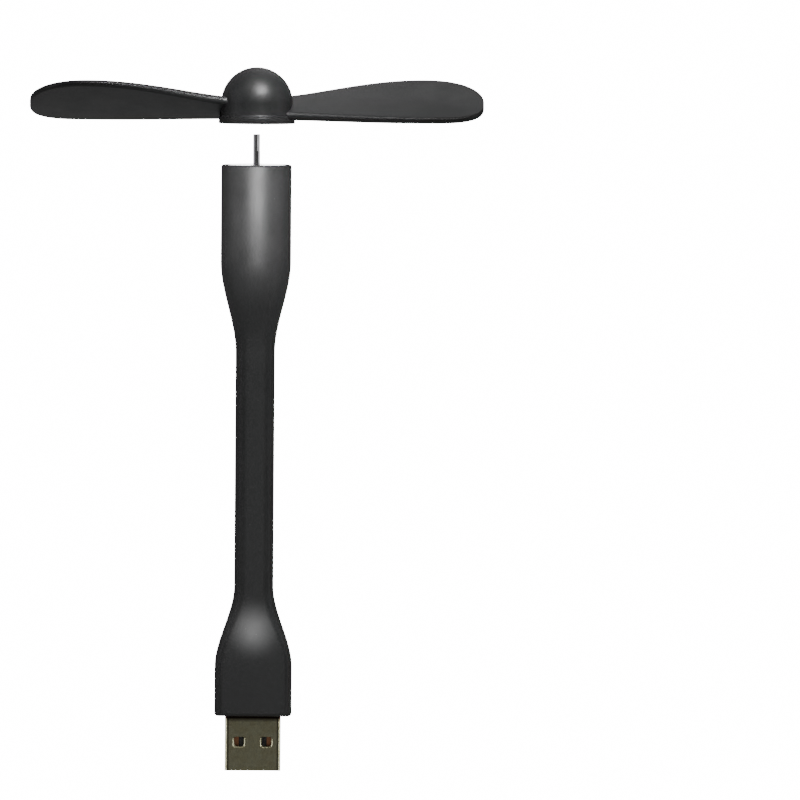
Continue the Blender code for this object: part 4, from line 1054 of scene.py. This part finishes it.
class FAN_OT_stage(FanPiece, bpy.types.Operator):
    """Pale floor, soft lights and the camera"""
    bl_idname = "fan.stage"
    bl_label = "Stage"

    def floor(self, colour):
        bm = bmesh.new()
        reach, count, height = 2.4, 12, -0.30        # metres, squares a side, metres
        rows = [[bm.verts.new((reach * (2 * i / count - 1), reach * (2 * j / count - 1), height))
                 for i in range(count + 1)] for j in range(count + 1)]
        rows_of_faces(bm, rows, closed=False)
        made, tree, shader = new_finish("pale_floor")
        cloud = effect(tree, "moulded_grain", Size=900.0, Patch_Size=3.0)
        rays = tree.nodes.new("ShaderNodeLightPath")
        feed(tree, shader, Base_Color=mixed(tree, cloud["Patches"], shade_of(colour, 0.97), colour),
             Roughness=0.6, Emission_Color=(*colour, 1.0),
             Emission_Strength=math_node(tree, "MULTIPLY", rays.outputs["Is Camera Ray"], 4.0))
        place("floor", mesh_from("floor", bm), made)

    def lamp(self, kind, name, spot, target, power, pieces):
        """A lamp that the camera doesn't see. It may be set to reach some pieces only."""
        data = bpy.data.lights.new(name, kind)
        data.energy = power
        lamp = bpy.data.objects.new(name, data)
        bpy.context.scene.collection.objects.link(lamp)
        lamp.location = spot
        lamp.rotation_euler = (Vector(target) - Vector(spot)).to_track_quat("-Z", "Y").to_euler()
        lamp.visible_camera = False
        if pieces:
            lit = bpy.data.collections.new(f"{name}_lit")
            for piece in pieces:
                lit.objects.link(piece)
            lamp.light_linking.receiver_collection = lit
        return data

    def softbox(self, name, spot, target, size, power, pieces=()):
        data = self.lamp("AREA", name, spot, target, power, pieces)
        data.shape = "RECTANGLE"
        data.size, data.size_y = size

    def beam(self, name, spot, target, radius, angle, power, pieces=()):
        """A narrow soft-edged beam."""
        data = self.lamp("SPOT", name, spot, target, power, pieces)
        data.shadow_soft_size = radius
        data.spot_size = angle
        data.spot_blend = 1.0

    def world(self):
        """White behind the object, and a soft room that is darker in front."""
        world = bpy.data.worlds.new("studio")
        bpy.context.scene.world = world
        world.use_nodes = True
        tree = world.node_tree
        tree.nodes.clear()
        way = tree.nodes.new("ShaderNodeTexCoord").outputs["Generated"]
        parts = tree.nodes.new("ShaderNodeSeparateXYZ")
        tree.links.new(way, parts.inputs[0])
        depth = spread(tree, parts.outputs["Y"], -0.9, 0.5, 0.20, 0.24)
        height = spread(tree, parts.outputs["Z"], 0.0, 0.9, 0.0, 0.25)
        room = tree.nodes.new("ShaderNodeBackground")
        tree.links.new(math_node(tree, "ADD", depth, height), room.inputs["Strength"])
        white = tree.nodes.new("ShaderNodeBackground")
        white.inputs["Strength"].default_value = 20.0
        rays = tree.nodes.new("ShaderNodeLightPath")
        mix = tree.nodes.new("ShaderNodeMixShader")
        tree.links.new(rays.outputs["Is Camera Ray"], mix.inputs[0])
        tree.links.new(room.outputs[0], mix.inputs[1])
        tree.links.new(white.outputs[0], mix.inputs[2])
        out = tree.nodes.new("ShaderNodeOutputWorld")
        tree.links.new(mix.outputs[0], out.inputs["Surface"])

    def camera(self):
        view_width, sensor, lens = 172.1 * MM, 36.0, 1000.0
        distance = view_width * lens / sensor
        rise, lean = radians(2.2), radians(0.4)
        target = Vector((31.2 * MM, 0.0, 68.2 * MM))
        data = bpy.data.cameras.new("camera")
        data.lens, data.sensor_width = lens, sensor
        data.clip_end = 100.0
        camera = bpy.data.objects.new("camera", data)
        bpy.context.scene.collection.objects.link(camera)
        camera.location = target + distance * Vector((0.0, -cos(rise), sin(rise)))
        aim = (target - camera.location).to_track_quat("-Z", "Y").to_matrix()
        camera.rotation_euler = (aim @ Matrix.Rotation(lean, 3, "Z")).to_euler()
        bpy.context.scene.camera = camera

    def execute(self, context):
        self.floor(tuple(context.scene.fan_colours.floor))
        pieces = bpy.data.objects
        plug, shaft = [pieces["usb_shell_folded"]], [pieces["ground_shaft"]]
        plate, blades = [pieces["end_plate_slotted"]], [pieces["soft_propeller"]]
        body = [piece for piece in pieces
                if piece.name.startswith("neck_rubber") or piece.name in ("head_rubber", "plug_housing")]
        self.softbox("soft_top", spot=(0.10, -0.45, 0.80), target=(0.0, 0.0, 0.11), size=(0.35, 0.35),
                     power=3.0)
        self.softbox("soft_left", spot=(-0.8, -0.3, 0.35), target=(0.0, 0.0, 0.06), size=(0.4, 0.8),
                     power=1.0)
        self.softbox("soft_right", spot=(0.8, -0.2, 0.30), target=(0.0, 0.0, 0.06), size=(0.4, 0.8),
                     power=1.0)
        self.softbox("soft_front", spot=(0.1, -1.5, 0.10), target=(0.0, 0.0, 0.06), size=(1.0, 1.0),
                     power=4.6, pieces=body)
        self.softbox("blade_light", spot=(0.15, 0.45, 0.70), target=(0.02, 0.0, 0.131), size=(0.5, 0.4),
                     power=0.52, pieces=blades)
        self.softbox("plate_light", spot=(0.0, 0.30, 0.150), target=(0.0, 0.0, 0.1186), size=(0.2, 0.12),
                     power=1.0, pieces=plate)
        self.beam("dome_beam", spot=(0.075, -0.220, 0.350), target=(0.0, 0.0, 0.133), radius=0.026,
                  angle=radians(6.8), power=42.0, pieces=blades)
        self.beam("flare_beam", spot=(0.0, -0.018, 0.0203), target=(0.0, 0.0, 0.0182), radius=0.0015,
                  angle=radians(50), power=0.0105, pieces=body)
        for side in (-1, 1):
            self.beam(f"head_beam_{side}", spot=(0.004 + 0.007 * side, -0.055, 0.119),
                      target=(0.0, 0.0, 0.112), radius=0.006, angle=radians(64), power=0.19, pieces=body)
            self.softbox(f"plug_light_{side}", spot=(side * 0.090, -0.030, 0.0),
                         target=(0.0, 0.0, -0.006), size=(0.02, 0.06), power=0.06, pieces=plug)
            self.softbox(f"shaft_light_{side}", spot=(side * 0.10, 0.010, 0.122),
                         target=(0.0, 0.0, 0.122), size=(0.08, 0.03), power=0.009 + 0.006 * side,
                         pieces=shaft)
        self.world()
        self.camera()
        return {"FINISHED"}


class FAN_PT_build(bpy.types.Panel):
    """Lists the steps that build the fan"""
    bl_idname = "FAN_PT_build"
    bl_label = "Desk Fan"
    bl_space_type = "VIEW_3D"
    bl_region_type = "UI"
    bl_category = "Desk Fan"

    def draw(self, context):
        for owner in (context.scene.fan_sizes, context.scene.fan_colours):
            column = self.layout.column(align=True)
            for name in owner.bl_rna.properties.keys():
                if name not in ("name", "rna_type"):
                    column.prop(owner, name)
        for step in STEPS:
            self.layout.operator(step.bl_idname)


STEPS = (FAN_OT_bare_plug, FAN_OT_housing, FAN_OT_neck, FAN_OT_head, FAN_OT_wiring, FAN_OT_motor,
         FAN_OT_shaft, FAN_OT_propeller, FAN_OT_stage)
CLASSES = (FanSizes, FanColours, *STEPS, FAN_PT_build)


def register():
    for item in CLASSES:
        bpy.utils.register_class(item)
    bpy.types.Scene.fan_sizes = PointerProperty(type=FanSizes)
    bpy.types.Scene.fan_colours = PointerProperty(type=FanColours)


def unregister():
    del bpy.types.Scene.fan_colours
    del bpy.types.Scene.fan_sizes
    for item in reversed(CLASSES):
        bpy.utils.unregister_class(item)


def main():
    register()
    for step in STEPS:
        folder, name = step.bl_idname.split(".")
        getattr(getattr(bpy.ops, folder), name)()


if __name__ == "__main__":
    main()
